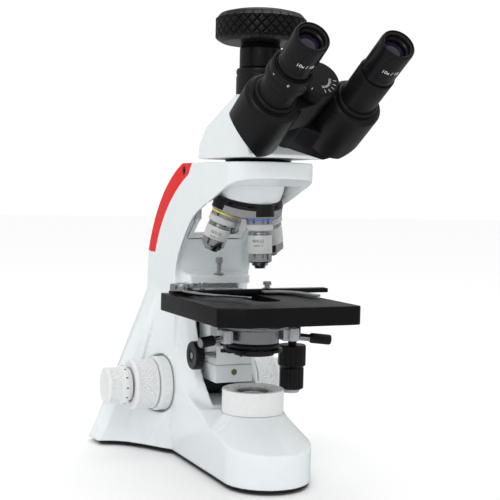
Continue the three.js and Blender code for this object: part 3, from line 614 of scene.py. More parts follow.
def diamonds(around, pitch, start, end, height, flat=0.0):
    """Raised diamonds on the stretch of z from start to end; flat is the level share of each."""

    def ripple(angle, r, z):
        if not start <= z <= end:
            return 0
        u = angle * around / (2 * math.pi)
        v = (z - start) / pitch
        off_centre = 2 * max(abs(s - round(s)) for s in (u + v, u - v))
        fade = min(1, (z - start) / 0.6, (end - z) / 0.6)
        return -height * fade * step_between(flat, 1, off_centre)

    return ripple


def flutes(around, start, end, depth, width=0.5):
    """Grooves along the axis."""

    def ripple(angle, r, z):
        if not start <= z <= end:
            return 0
        phase = abs((angle * around / (2 * math.pi)) % 1 - 0.5) * 2
        fade = min(1, (z - start) / 0.5 + 0.2, (end - z) / 0.5 + 0.2)
        return -depth * fade * (1 - step_between(0, width, phase))

    return ripple


def banded(before, band, after, count, edge=0.5, last_edge=None):
    """An open profile: plain corners, a band with many rows for a pattern, then plain corners."""
    ends = [rounded(before, edge, False), rounded(after, last_edge or edge, False)]
    return [*ends[0], *rows(*band, count), *ends[1]]


def knobbed(name, at, before, band, after, sides, ripple, count, edge=0.5):
    """A turned knob whose band carries the pattern."""
    return lathe(name, banded(before, band, after, count, edge), at, sides, ripple)


def lettering(name, text, size, at, radius=None, depth=0.06):
    """Flat figures, or figures bent round a cylinder about the frame's Z axis that start at its +X side."""
    curve_data = bpy.data.curves.new(name, "FONT")
    curve_data.body = text
    curve_data.size = size * MM
    curve_data.align_x = "CENTER"
    curve_data.align_y = "CENTER"
    curve_data.extrude = depth * MM
    curve_data.resolution_u = 4
    source = linked(name + "_source", curve_data)
    mesh = baked(source)
    bpy.data.objects.remove(source)
    obj = linked(name, mesh)
    if radius is not None:
        for vertex in mesh.vertices:
            x, y, z = vertex.co
            angle = x / (radius * MM)
            reach = radius * MM + z
            vertex.co = (reach * math.cos(angle), reach * math.sin(angle), y)
    obj.matrix_world = world(at)
    return obj


def stick(name, parts, material, body):
    """Small parts of one material as one piece."""
    whole = joined(parts)
    whole.name = name
    return piece(whole, material, body)


def keep(node, material):
    """A CAD node that stays as it is, with a procedural surface."""
    obj = frame["nodes"][node]
    obj.data.materials.clear()
    obj.data.materials.append(material)
    for polygon in obj.data.polygons:
        polygon.material_index = 0


def screw_head(name, radius, height, at, slot=True, edge=0.3):
    head = disc(name, radius, 0, height, at, edge, 40)
    if slot:
        socket = lathe(
            "socket",
            [
                (0, height * 0.3), (radius * 0.5, height * 0.3), (radius * 0.5, height + 1),
                (0, height + 1),
            ],
            at,
            6,
        )
        carve(head, socket)
    return head


# ---------- Handle, cover, feet ----------
def carry_handle():
    outer = curve((84, 277.8), (132, 262), (163, 226), (175.8, 191.3), 20)
    inner = curve((155.8, 191.3), (143, 222), (112, 250), (69.6, 267.3), 20)
    outline = [(62.6, 277.8), (84, 277.8), *outer, (155.8, 191.3), *inner]
    whole = prism("carry_handle_cover", outline, -ARM_HALF, ARM_HALF, "x")
    carve(whole, block("gap", (-28, 28), (106, 300), (0, 300)))
    seats = [disc("seat", 4.2, 36.6, 60, handle_pin(sign), 0, 40) for sign in (-1, 1)]
    carve(whole, *seats)
    return soften(whole, 2.2, 4, 50)


piece(carry_handle(), RED, "stand", ["carry_handle"])
for side, sign in SIDES:
    piece(
        screw_head(f"handle_screw_{side}", 3.6, 1.6, handle_pin(sign) @ moved(0, 0, 36.7)), ANODISED,
        "stand",
    )

cover_side = [(38, 98), *curve((38, 98), (51, 114), (63, 152), (91, 157), 8), (92, 170), (88, 188)]
cover_outline = toe_outline(1.0)[:65] + cover_side + [(-x, y) for x, y in reversed(cover_side)]
cover = prism("base_cover_plate", cover_outline, 2.2, 4.55)
piece(soften(cover, 0.4, 2), ANODISED, "stand", ["bottom_cover"])
for i, (x, y) in enumerate(((-24, -34), (24, -34), (-74, 180), (74, 180))):
    foot = spun(
        f"foot_pad_{i + 1}",
        [(0, 0.5), (4.6, 0.5), (5.2, 0), (7.1, 0), (7.6, 0.7), (7.6, 2.1), (0, 2.1)], 0.25,
        moved(x, y, 0), 64,
    )
    piece(foot, RUBBER, "stand", [f"rubber_foot_{i + 1}"])
for i, (x, y) in enumerate(((0, -58), (-31, 44), (31, 44), (0, 184))):
    piece(screw_head(f"cover_screw_{i + 1}", 3, 1.1, moved(x, y, 2.3) @ turned("X", 180)), STEEL, "stand")


# ---------- Window insert ----------------------------
def window_insert():
    half, low = WINDOW - 0.7, SILL + 0.7
    outer = prism("window_insert", [(-half, low), (half, low), (half, 246.3), (-half, 246.3)], 70, 170, "y")
    half, low = 24, 211.4
    carve(outer, prism("hole", [(-half, low), (half, low), (half, 260), (-half, 260)], 60, 200, "y"))
    front = [(y + 0.4, z) for y, z in zip(INNER_EDGE[13:18], FRONT_LEVELS[13:18])]
    rear = [Vector((-2.5, -1.5)) + p for p in curve((118, 250), (146, 222), (157, 191), (158, 188), 10)]
    inside = prism("inside", [*front, *rear], -40, 40, "x")
    carve(outer, inside, operation="INTERSECT")
    return soften(outer, 0.4, 2)


piece(window_insert(), WHITE, "stand")


# ---------- Lamp ----------
def collector():
    corners = [(16.8, 58.1), (27.4, 58.1), (27.4, 79), (24.2, 79), (23.4, 74.2), (17.2, 73.2), (16.4, 70)]
    body = lathe("lamp_collector_rim", rounded(corners, 0.9, steps=4), HERE, 128, closed=True)
    # The dish floor and inner wall inside the rim are painted grey: painted shade in the recess under the
    # rim.
    return paint_where(body, KNOB_WHITE, GREY, lambda r, z: 15 < r < 23.9 and 68 < z < 76)


piece(collector(), KNOB_WHITE, "stand", ["collector_ring"])
fins = []
for i in range(12):
    fin = prism(
        f"fin_{i}", [(17.6, 73.0), (23.9, 74.0), (24.0, 78.2), (17.6, 76.6)], -0.5, 0.5, "y",
        turned("Z", 30 * i + 8),
    )
    fins.append(soften(fin, 0.25, 2))
stick("lamp_collector_fins", fins, KNOB_WHITE, "stand")
piece(ring("lens_clamp_ring", 14.4, 16.9, 70.6, 76.9, HERE, 0.5), SATIN, "stand")
piece(
    lathe(
        "field_lens_glass",
        [
            (0, 62), (14.6, 62), (14.6, 70.8), (13.2, 72.6),
            *crown(13.2, 72.6, 3.4, (0.25, 0.5, 0.75, 1.0, 1.25)), (0, 76.1),
        ],
        HERE,
        64,
    ),
    CLEAR,
    "stand",
    ["field_lens"],
)
reflector = lathe(
    "lamp_reflector",
    [(3, 60.2), (12, 61), (14.2, 66), (14.3, 70.4), (13.8, 70.4), (13.2, 66.2), (11.4, 61.8), (3, 60.9)],
    HERE, 64, closed=True,
)
piece(reflector, CHROME, "stand")
piece(disc("lamp_chip", 3.2, 60.6, 61.8, HERE, 0.3), YELLOW, "stand")
housing = spun(
    "lamp_housing", [(14.5, 30), (20, 30), (20, 57.2), (17.6, 57.2), (17.6, 33), (14.5, 33)], 0.4,
    HERE, 64, flutes(24, 31, 56, 1.2, 0.6), closed=True,
)
piece(housing, ANODISED, "stand", ["lamp_module"])
keep("driver_board", BOARD)


# ---------- Power panel ----------
def panel():
    plate = block("power_panel_plate", (-29.6, 23.6), (184.6, 188.7), (14.4, 34.2))
    weld(
        plate, block("box", (-29, -3), (173, 186), (15.2, 33.4)),
        block("box", (9, 23), (177, 186), (15.2, 33.4)),
    )
    carve(
        plate, block("socket", (-26, -6), (178, 200), (18, 31)),
        block("room", (10.5, 21.5), (178, 200), (16.5, 32.1)),
    )
    return soften(plate, 0.5, 2)


piece(panel(), BLACK, "stand", ["power_panel"])
pins = [
    block(f"pin_{i}", (x - 1, x + 1), (176, 187), (z - 2.2, z + 2.2))
    for i, (x, z) in enumerate(((-22, 23.4), (-10, 23.4), (-16, 27)))
]
stick("socket_pins", [soften(pin, 0.4, 2) for pin in pins], BRASS, "stand")
rocker_outline = [
    (184.4, 17.9), (188.2, 17.3), (189.0, 20), (189.0, 24.3), (189.8, 28), (190.3, 30.8), (184.4, 30.3),
]
rocker = prism("rocker", rocker_outline, 11.1, 20.9, "x")
for z in (19.6, 21, 22.4):
    carve(rocker, rod("groove", 0.35, (10, 189.0, z), (22, 189.0, z), 0.05, 12))
piece(soften(rocker, 0.3, 2), BLACK, "power_switch", ["power_switch"])
dimmer = knobbed(
    "dimmer_wheel", DIMMER, [(0, 26), (3, 26), (3, 39.9), (9.6, 39.9)], ((9.9, 40.6), (9.3, 47.6)),
    [(8.9, 48.9), (0, 48.9)], 160, flutes(20, 40.7, 47.5, 0.6), 6,
)
piece(dimmer, KNOB_WHITE, "dimmer", ["dimmer_knob"])


# ---------- Focus knobs ----------
def coarse_knob(side, sign):
    before = [(5, 51.6), (22.6, 51.6), (23.4, 52.6), (23.4, 53.6)]
    after = [(23.4, 71.2), (24, 71.6), (24, 73.6), (22, 75), (16.6, 75), (16.6, 72.4), (5, 72.4)]
    profile = banded(before, ((23.9, 54), (23.9, 70.8)), after, 48)
    pattern = diamonds(32, 4.7, 54.2, 70.6, 1.3)
    return lathe(f"coarse_knob_grip_{side}", profile, focus_shaft(sign), 306, pattern, closed=True)


def fine_knob(side, sign):
    before = [(0, 76), (15.3, 76), (15.3, 79.6), (18.4, 79.9), (18.8, 80.4), (18.8, 84.6), (17.4, 85.4)]
    after = [(17.3, 97), (17.6, 97.4), (17.3, 98.9), (16, 99.9), (13.6, 99.6), (0, 99.2)]
    profile = banded(before, ((17.7, 86), (17.5, 96.8)), after, 34, 0.4, 0.6)
    pattern = diamonds(24, 4.6, 86.4, 96.6, 1.2)
    return lathe(f"fine_knob_grip_{side}", profile, focus_shaft(sign), 234, pattern)


for side, sign in SIDES:
    piece(coarse_knob(side, sign), KNOB_WHITE, "coarse_knobs", [f"coarse_knob_{side}"])
    piece(fine_knob(side, sign), KNOB_WHITE, "fine_knobs", [f"fine_knob_{side}"])
    ticks = []
    for i in range(12):
        at = focus_shaft(sign) @ turned("Z", 30 * i)
        ticks.append(block(f"tick_{i}", (18.5, 18.86), (-0.6, 0.6), (81.4, 83.6), at))
    stick(f"fine_scale_{side}", ticks, DARK_PRINT, "fine_knobs")
tension = knobbed(
    "tension_ring_grip", focus_shaft(-1), [(6, 39.6), (25.2, 39.6)], ((25.9, 40.4), (25.9, 50.1)),
    [(25.2, 50.9), (6, 50.9)], 240, flutes(40, 40.5, 47.5, 0.45, 0.35), 12,
)
piece(tension, KNOB_WHITE, "tension_ring", ["tension_ring"])
keep("coarse_pinion_shaft", STEEL)
keep("fine_shaft", STEEL)
keep("focus_slide", ANODISED)


# ---------- Stage carrier ----------
def carrier():
    lower = soften(block("stage_carrier_block", (-18.5, 18.5), (42, 87.6), (77, 93.2)), 0.9, 3)
    upper = soften(block("upper", (-17.9, 17.9), (42.6, 87.6), (93.4, 111)), 0.9, 3)
    spine = block("spine", (-17, 17), (72, 87.6), (110, 139))
    column = block("column", (-17, 17), (60, 76), (110, 143.7))
    weld(lower, upper, spine, column, block("core", (-15, 15), (46, 87), (90, 96)))
    slot = block("slot", (-7.5, 7.5), (49.6, 53.7), (84, 200))
    shaft = rod("shaft", 3.5, (-60, 46.5, 103), (8, 46.5, 103), 0.05)
    seat = rod("seat", 3.0, (0, 30, 86.6), (0, 45.2, 86.6), 0.05)
    return carve(lower, slot, shaft, seat)


piece(carrier(), WHITE, "stage_carrier", ["stage_carrier"])
piece(screw_head("carrier_screw", 2.6, 1.6, moved(0, 45, 86.6) @ turned("X", 90)), BRASS, "stage_carrier")


# ---------- Stage ----------
STAGE_DECK = (143.4, 159.3)  # underside and top of the stage plate
SLIDE_LEVELS = (144.2, 153.9)  # underside and top of the plate that it slides on


def stage_plan(inset):
    w, f, r = 66 - inset, -83 + inset, 61.4 - inset
    right = 61 - inset
    return [(-w, f + 12), (20 - w, f), (right - 3, f), (right, f + 3), (right, r), (-w, r)]


def stage_plate():
    top = soften(prism("stage_plate", stage_plan(0), *STAGE_DECK), 0.9, 4)
    under = prism("under", [*stage_plan(3)[:4], (63, 80), (-63, 80)], 0, 154.3)
    slot = [*arc(0, -22, 13, 180, 360, 24), *arc(0, 28, 13, 0, 180, 24)]
    carve(top, under, prism("slot", slot, 0, 200))
    track = block("track", (-44, 58), (41.4, 43.4), (158.3, 170))
    carve(top, track)
    post = disc("post", 7.5, 117.4, 150, STAGE_DRIVE, 0.4)
    weld(top, post, block("bracket", (44, 59), (16, 32), (140, 154.6)))
    return carve(top, disc("bore", 4.4, 100, 145, STAGE_DRIVE, 0))


piece(stage_plate(), STAGE_BLACK, "stage_top", ["stage_top_plate"])


def stage_slide():
    plate = block("stage_slide_plate", (-41.4, 41.4), (-50, 50), SLIDE_LEVELS)
    weld(plate, block("tongue", (-20, 20), (45, 76.5), SLIDE_LEVELS))
    return soften(carve(plate, disc("hole", 34, 100, 200, HERE, 0, 96)), 0.5, 2)


piece(stage_slide(), ANODISED, "stage_carrier", ["stage_base_plate"])

HOLDER_Z = 159.6


def slide_holder():
    rail = soften(block("slide_holder_rail", (-42, 90), (31, 39), (HOLDER_Z, HOLDER_Z + 4)), 0.5, 3)
    plate = [(-62, 39.3), (36, 39.3), (36, 46), (-44, 52), (-62, 52)]
    weld(rail, soften(prism("plate", plate, HOLDER_Z, HOLDER_Z + 2.4), 0.4, 2))
    return carve(rail, disc("bore", 2.6, 100, 200, SPRING_PIN, 0, 32))


def holder_arm():
    arm = [(20, 40), (20, 23), (34, 22), (44, 12), (50, -16), (57, -16), (51, 16), (38, 31.4), (38, 40)]
    return soften(prism("slide_holder_arm", arm, HOLDER_Z + 1.0, HOLDER_Z + 3.2), 0.5, 3)


piece(slide_holder(), STAGE_BLACK, "slide_holder", ["slide_holder"])
piece(holder_arm(), SATIN, "slide_holder")
bridge = [(-44, 40), (-42, 50.5), (2, 48.5), (6, 44), (6, 40)]
piece(
    soften(prism("slide_holder_bridge", bridge, HOLDER_Z + 2.5, HOLDER_Z + 4.3), 0.5, 3), CHROME,
    "slide_holder",
)
scale = block("slide_holder_scale", (30, 88), (32, 38), (HOLDER_Z + 4.02, HOLDER_Z + 4.5))
piece(soften(scale, 0.15, 2), SATIN, "slide_holder")
ticks = [
    block(
        f"tick_{i}", (32 + i * 2 - 0.12, 32 + i * 2 + 0.12), (32.4, 34.4 if i % 5 else 36),
        (HOLDER_Z + 4.4, HOLDER_Z + 4.56),
    )
    for i in range(28)
]
stick("slide_scale_marks", ticks, DARK_PRINT, "slide_holder")
for side, x in (("left", -33), ("right", 32)):
    at = moved(x, 43, HOLDER_Z)
    corners = [(0, 2.2), (4.8, 2.2), (4.8, 4), (2.6, 4.6), (2.4, 6.4), (3.9, 7)]
    screw = knobbed(
        f"holder_screw_{side}", at, corners, ((3.9, 7.2), (3.9, 9.6)), [(3.6, 10.2), (0, 10.2)], 120,
        flutes(24, 7.2, 9.6, 0.25), 4, 0.3,
    )
    piece(screw, CHROME, "slide_holder")


def spring_finger():
    line = through([(-53, 43), (-54, 30), (-50, 6), (-38, -16), (-20.5, -37)], 8)
    width = [7, 5.6, 4.6, 3.6, 2.2]
    left, right = [], []
    for i, point in enumerate(line):
        before, after = line[max(0, i - 1)], line[min(len(line) - 1, i + 1)]
        across = (after - before).normalized()
        share = i / (len(line) - 1) * 4
        k = min(3, int(share))
        half = (width[k] + (width[k + 1] - width[k]) * (share - k)) / 2
        left.append(point + Vector((-across.y, across.x)) * half)
        right.append(point - Vector((-across.y, across.x)) * half)
    blade = prism("spring_finger_blade", left + right[::-1], HOLDER_Z + 2.8, HOLDER_Z + 4.6)
    return soften(blade, 0.5, 3)


piece(spring_finger(), CHROME, "spring_finger", ["spring_finger"])
hub_corners = [(0, 2.7), (9.9, 2.7), (10.5, 3.4), (10.5, 8.2), (9, 9.6), (4.6, 9.2), (0, 9.2)]
piece(
    spun("spring_finger_hub", hub_corners, 0.5, SPRING_PIN @ moved(0, 0, HOLDER_Z), 96), CHROME,
    "spring_finger",
)
piece(
    screw_head("spring_finger_screw", 3, 0.9, SPRING_PIN @ moved(0, 0, HOLDER_Z + 9)), SATIN,
    "spring_finger",
)
upper = knobbed(
    "stage_y_grip", STAGE_DRIVE, [(2.5, 93.2), (11.9, 93.2)], ((12.8, 94.2), (12.8, 111.8)),
    [(11.9, 112.8), (4, 112.8), (4, 139.9), (2.5, 139.9)], 240, flutes(16, 94.3, 111.7, 1.0, 0.55), 12,
)
piece(upper, BLACK, "stage_y_knob", ["stage_y_knob"])
lower = knobbed(
    "stage_x_grip", STAGE_DRIVE, [(0, 68.4), (6.6, 68.4), (7.6, 69.4), (7.6, 72), (10.2, 72)],
    ((11.2, 73), (11.2, 91.2)), [(10.4, 92.2), (2.2, 92.2), (2.2, 138.9), (0, 138.9)], 240,
    flutes(16, 73.1, 91.1, 0.9, 0.55), 12,
)
paint_where(lower, BLACK, GREY, lambda r, z: z < 71.9)
piece(lower, BLACK, "stage_x_knob", ["stage_x_knob"])


# ---------- Condenser ----------
def condenser_bracket():
    body = ring("condenser_arm", 26, 33, 121, 131, HERE, 0.8)
    carve(body, block("front", (-60, 60), (-60, -9), (100, 150)))
    arm = block("arm", (-6.8, 6.8), (30, 53.2), (123.4, 131))
    tongue = block("tongue", (-6.8, 6.8), (50, 53.2), (97, 131))
    weld(
        body,
        arm,
        tongue,
        *[
            soften(block("lug", xs, (-12, 1), (120.8, 132.5)), 1.2, 3)
            for xs in ((-34, -26.5), (29.5, 39))
        ],
    )
    for s in (-1, 1):
        carve(body, rod("bore", 2.4, (20 * s, -3.2, 126.6), (52 * s, -10.6, 123.2), 0.05))
    return body


piece(condenser_bracket(), GREY, "condenser", ["condenser_bracket"])
for side, s in SIDES:
    start = Vector((20 * s, -3.2, 126.6))
    end = Vector((69 * s, -14.6, 121.4))
    if s < 0:
        end = start + (end - start) * 0.74
    length = (end - start).length
    near, mid, far = length * 0.14, length * 0.42, length
    corners = [(0, near), (1.9, near), (1.9, mid), (3.2, mid), (3.2, length * 0.6), (3.8, length * 0.62)]
    screw = knobbed(
        f"centring_grip_{side}", between(start, end), corners, ((4.6, length * 0.64), (4.6, far - 1.4)),
        [(4, far - 0.3), (0, far)], 144, flutes(20, length * 0.65, far - 1.6, 0.35), 10, 0.4,
    )
    paint_where(screw, ANODISED, CHROME, lambda r, z: z < length * 0.6 or (z > far - 0.5))
    piece(screw, ANODISED, f"centring_screw_{side}", [f"centring_screw_{side}"])
mount = [
    (14.8, 120.4), (22, 120.4), (22, 131.4), (24, 133), (31, 133.3), (31, 135.8), (18, 136.6),
    (14.2, 145.6), (9.2, 145.6), (9.2, 143.6), (14.9, 134),
]
piece(spun("condenser_barrel", mount, 0.5, HERE, 128, closed=True), STEEL, "condenser", ["condenser_mount"])
lens = [(0, 128), (14.6, 128), (14.6, 133.6), (8.9, 143), (8.9, 144.4), (5, 145), (0, 145.2)]
piece(lathe("condenser_glass", lens, HERE, 64), CLEAR, "condenser", ["condenser_lens"])
iris = [(13, 115.4), (21.8, 115.4), (22.8, 116.4), (22.8, 118.8), (22, 120), (13, 120)]
piece(spun("iris_housing", iris, 0.5, HERE, 128, closed=True), ANODISED, "condenser", ["iris_ring"])
piece(rod("filter_pin", 0.8, (-21.5, 17.2, 109.2), (-21.5, 17.2, 116), 0.1), STEEL, "condenser")
piece(disc("filter_pin_lug", 3.7, 115.5, 118.4, FILTER_PIN, 0.4), ANODISED, "condenser")
blades = []
for i in range(8):
    blade = prism(
        f"blade_{i}", [(13.4, -5.5), (13.4, 5), (6.4, 7.5), (4.6, 0.5)], 116.2 + 0.12 * i,
        116.3 + 0.12 * i, "z", turned("Z", 45 * i),
    )
    blades.append(blade)
stick("iris_blades", blades, STEEL, "condenser")
lever = ring("iris_lever_arm", 18.4, 25.5, 112.6, 115.1, HERE, 0.4)
weld(
    lever, rod("stem", 1.1, (-16.2, -17.8, 113.9), (-24, -26.4, 113.4), 0.3),
    rod("ball", 1.6, (-21.6, -23.8, 113.6), (-25.2, -27.7, 113.4), 0.7),
)
piece(lever, ANODISED, "iris_lever", ["iris_lever"])
holder = ring("filter_frame", 15.6, 18, 109.4, 112.2, HERE, 0.3)
link = block("link", (-20.5, -12), (8, 16), (109.5, 112.1))
carve(link, disc("in", 16.6, 100, 115, HERE, 0))
weld(holder, link, disc("hub", 3, 109.4, 112.2, FILTER_PIN, 0.3))
piece(
    carve(holder, disc("bore", 1.2, 100, 115, FILTER_PIN, 0, 24)), ANODISED, "filter_holder",
    ["filter_holder"],
)
knob = knobbed(
    "condenser_grip", CONDENSER_SHAFT, [(4.4, 32.2), (12.1, 32.2)], ((13, 33), (13, 39.8)),
    [(12.2, 40.9), (6.2, 40.9), (5.8, 40.2), (0, 40.2)], 200, flutes(30, 33, 39.8, 0.55, 0.5), 8,
)
piece(knob, BLACK, "condenser_knob", ["condenser_knob"])
piece(rod("condenser_shaft", 3.0, (-33, 46.5, 103), (6, 46.5, 103)), CHROME, "condenser_knob")
piece(
    screw_head("condenser_knob_screw", 2.8, 0.7, CONDENSER_SHAFT @ moved(0, 0, 40.2)), SATIN,
    "condenser_knob",
)


# ---------- Nosepiece ----------
def turret_body():
    before = [(0, -81.4), (5, -81.5), (29.6, -76.4)]
    after = [(30.6, -66.5), (0, -66.5)]
    grip = flutes(90, -75.3, -70.2, 0.35, 0.5)
    body = knobbed("turret_grip", TURRET, before, ((31.3, -75.4), (31.3, -68.2)), after, 360, grip, 10, 0.6)
    boss_corners = [(0, 12), (0, -0.3), (12.6, -0.3), (13.4, 0.6), (13.4, 12), (0, 12)]
    boss = rounded(boss_corners, 0.4, closed=False)[1:]
    for i in range(4):
        weld(body, lathe("boss", boss, objective_frame(i), 64))
    paint_where(body, SATIN, DULL, lambda r, z: r > 28 and z > -76)
    return paint_where(body, SATIN, ANODISED, lambda r, z: r > 28 and z > -68.9)


REST_TURN = 7  # degrees between the 40x objective and the front of the turret, at rest


def objective_frame(index):
    turn = turned("Z", REST_TURN + 90 * index)
    return TURRET @ turn @ turned("X", -16) @ moved(0, 0, -80.5)


OBJECTIVES = [
    ("objective_40x", 44.4, 4.6, BLUE, "40/0.65"),
    ("objective_100x", 44.6, 4.2, PALE, "100/1.25"),
    ("objective_4x", 29, 8.5, BAND_RED, "4/0.10"),
    ("objective_10x", 37, 6.4, YELLOW, "10/0.25"),
]


def objective(index, node, nose, front, band, figures):
    """A barrel with a knurled grip and a stepped nose; nose is its length, front its end radius."""
    at = objective_frame(index)
    tip = -nose
    body_end = tip * 0.70
    shiny_end = tip * 0.86
    neck = [(0, 5), (9.6, 5), (9.6, 0), (11.6, -0.3), (11.6, -5.2), (11.2, -5.6)]
    grooves = [
        (11.2, -11.2), (10.5, -11.4), (10.5, -12.4), (10.1, -12.6), (10.1, -13.1), (10.5, -13.3),
        (10.5, -14.3), (10.1, -14.5), (10.1, -14.9), (10.9, -15.2),
    ]
    steps = [
        (10.9, body_end), (10.4, body_end - 0.2), (10.5, body_end - 0.8), (10.5, shiny_end),
        (9.4, shiny_end - 1.0), (front + 2.8, shiny_end - 1.4), (front + 2.4, tip + 2.6),
        (front + 0.5, tip + 2.2), (front, tip), (front - 1.6, tip), (front - 2.4, tip + 0.9),
        (0, tip + 1.0),
    ]
    profile = banded(neck, ((12, -6), (12, -10.6)), [*grooves, *steps], 6, 0.3, 0.25)
    body = lathe(f"{node}_barrel", profile, at, 192, flutes(48, -10.5, -6.1, 0.35, 0.5))
    paint_where(body, CHROME, BARREL, lambda r, z: (body_end < z < -15.1) or (-11 < z < -5.7))
    paint_where(body, CHROME, LENS, lambda r, z: z < tip + 1.4 and r < front - 2.2)
    piece(body, CHROME, "turret", [node])
    piece(ring(f"{node}_band", 10.4, 11.72, -2.3, -1.2, at, 0.1), band, "turret")
    facing = at @ turned("Z", -90 - REST_TURN - 90 * index - 32 + 180 * (index in (1, 2)))
    for label, text, size, z in (("figures", figures, 3.6, -20), ("tube_figures", "160/0.17", 2.6, -24)):
        mark = lettering(f"{node}_{label}", text, size, facing @ moved(0, 0, z), 10.9)
        piece(mark, DARK_PRINT, "turret")


piece(turret_body(), SATIN, "turret", ["turret_body"])
for index, spec in enumerate(OBJECTIVES):
    objective(index, *spec)
pivot = spun(
    "turret_pivot_screw",
    [(0, -84.2), (6.2, -84.2), (6.6, -83.6), (6.6, -82.0), (4, -81.8), (4, -60), (0, -60)], 0.4,
    TURRET, 64,
)
piece(pivot, SATIN, "stand", ["turret_pivot"])
piece(ring("turret_ball_ring", 20, 29.4, -66.2, -63.5, TURRET, 0.5, 128), BLACK, "stand")


def turret_dome():
    dome = [(0, -63.2), (28.2, -63.2), (29.6, -57), (30.6, -49), (30.6, -20), (0, -20)]
    body = spun("turret_dome", dome, 0.8, TURRET, 128)
    return carve(body, block("ceiling", (-60, 60), (-90, 90), (263.5, 400)))


piece(turret_dome(), WHITE, "stand", ["nosepiece_housing"])
stop_corners = [
    (0, 165.4), (2.3, 165.4), (2.3, 173.3), (5, 173.3), (5, 174.6), (3.4, 175.4), (2.3, 175.6),
    (2.3, 183.8), (3.6, 184.4),
]
stop = knobbed(
    "stop_screw_body", STOP_SCREW, stop_corners, ((3.6, 184.8), (3.6, 189)), [(3.2, 190), (0, 190)],
    120, flutes(20, 184.9, 188.9, 0.3), 6, 0.3,
)
piece(stop, SATIN, "stop_screw", ["stop_screw"])


# ---------- Head ----------
piece(
    spun(
        "head_dovetail",
        [(15, 274.3), (29.6, 274.3), (29.6, 276.4), (28, 278.4), (29.6, 280.5), (15, 280.5)], 0.3, HERE,
        128, closed=True,
    ),
    ANODISED,
    "stand",
    ["head_dovetail_ring"],
)
lock = knobbed(
    "head_lock_grip", HEAD_LOCK, [(0, 30.4), (3, 30.4), (3, 40.2), (6.3, 40.2)], ((7, 41), (7, 49.2)),
    [(6.2, 50.9), (0, 50.9)], 120, flutes(24, 41, 49.2, 0.35), 8,
)
piece(lock, SATIN, "head_lock_screw", ["head_lock_screw"])


def head_housing():
    outline = [
        (-60.4, 283.4), (-57.6, 281.1), (53.6, 281.1), (53.8, 288),
        *curve((53.8, 288), (48, 300), (28, 314), (13, 324), 8), (7, 336.7), (-27, 336.7),
    ]
    wedge = prism("head_shell", outline, -36, 36, "x")
    eye_plane = block("plane", (-200, 200), (-200, 200), (-0.1, 200), EYES)
    corner_outline = [(-33, 335.4), (34, 309), (50, 294), (52, 279), (90, 279), (90, 400), (-33, 400)]
    corners = [prism("corner", corner_outline, *sorted((20.5 * s, 90 * s)), "x") for s in (-1, 1)]
    carve(wedge, eye_plane, *corners)
    tower = disc("tower", 21.8, 300, 336.6, HERE, 0.5, 96)
    carve(tower, block("plane", (-200, 200), (-200, 200), (-0.1, 200), EYES))
    weld(wedge, tower)
    melt(wedge, 0.9, 4)
    room = block("room", (-15, 15), (-18, 15), (270, 318))
    return carve(wedge, room, disc("light", 9, 270, 350, HERE, 0, 48))


piece(head_housing(), WHITE, "head", ["head_housing"], sharp=50)
keep("beam_splitter", CLEAR)


def pear(x, y, far, near):
    """Two circles of different size joined by their outer tangents."""
    length = math.hypot(x, y)
    towards = math.degrees(math.atan2(y, x))
    opened = 90 + math.degrees(math.asin((far - near) / length))
    return [
        *arc(x, y, far, towards - opened, towards + opened, 64),
        *arc(0, 0, near, towards + opened, towards - opened + 360, 48),
    ]


# Distances from the origin of EYES to the bevels on the housing and on the web of a wing.
BODY_FACET = 23
WEB_FACET = 25


def wing(side, sign, hub_low, hub_high):
    x, y = sign * TUBE_X, TUBE_Y
    place = EYES @ moved(x, y, 0)
    radius = 22.8 if sign > 0 else 23.8
    corners = [(0, 12.5), (radius, 12.5), (radius, 59.6), (radius - 2.9, 62.6), (0, 62.6)]
    body = spun(f"prism_housing_{side}", corners, 0.8, place, 128)
    outward = Vector((x, y, 0)).normalized() + Vector((0, 0, -1))
    facet = EYES @ between((0, 0, 0), outward)
    carve(body, block("facet", (-100, 100), (-100, 100), (BODY_FACET, 120), facet))
    carve(body, disc("near", 15.7, -10, 100, EYES, 0, 96))
    web = soften(prism("web", pear(x, y, 17, 15), hub_low, hub_high, "z", EYES), 0.7, 3)
    carve(web, block("facet", (-100, 100), (-100, 100), (WEB_FACET, 120), facet))
    hub = disc("hub", 16, hub_low, hub_high, EYES, 0.7, 96)
    weld(body, web, hub)
    shoulder = spun(
        "shoulder", [(0, 50), (17.6, 50), (17.6, 65.4), (16.6, 66.4), (0, 66.4)], 0.5, place, 96,
    )
    tube_corners = [(0, 60), (15.2, 60), (15.2, 81), (14.4, 83.6), (14.4, 99.5), (0, 99.5)]
    if sign > 0:
        tube_corners = [(0, 60), (15.2, 60), (15.2, 99.5), (0, 99.5)]
    tube = spun("tube", tube_corners, 0.5, place, 96)
    weld(body, shoulder, tube)
    bore = disc("bore", 12.2, 20, 120, place, 0, 64)
    pin = disc("pin", 6.4, -10, 80, EYES, 0, 48)
    return carve(body, bore, pin)


piece(wing("left", -1, 31.7, 62.6), BLACK, "left_wing", ["prism_wing_left"])
piece(wing("right", 1, 0.3, 31.3), BLACK, "right_wing", ["prism_wing_right"])
piece(disc("hinge_pin", 6, 0.3, 64, EYES, 0.3), STEEL, "head")
dial_corners = [(0, 63.2), (16.7, 63.2), (17.5, 64.2), (17.5, 73.4), (16.8, 74.6), (15.6, 75), (0, 75)]
piece(spun("eye_distance_dial", dial_corners, 0.6, EYES, 128), BLACK, "head", ["ipd_dial"])
for i, figure in enumerate(("55", "60", "65", "70", "75")):
    angle = -84 + 19 * i
    mark = EYES @ turned("Z", angle) @ moved(8.6, 0, 75.02) @ turned("Z", 90)
    piece(lettering(f"dial_figure_{figure}", figure, 2.9, mark, None, 0.05), PRINT, "head")
    tick = block(f"dial_tick_{figure}", (11.2, 14.2), (-0.2, 0.2), (74.9, 75.07), EYES @ turned("Z", angle))
    piece(tick, PRINT, "head")
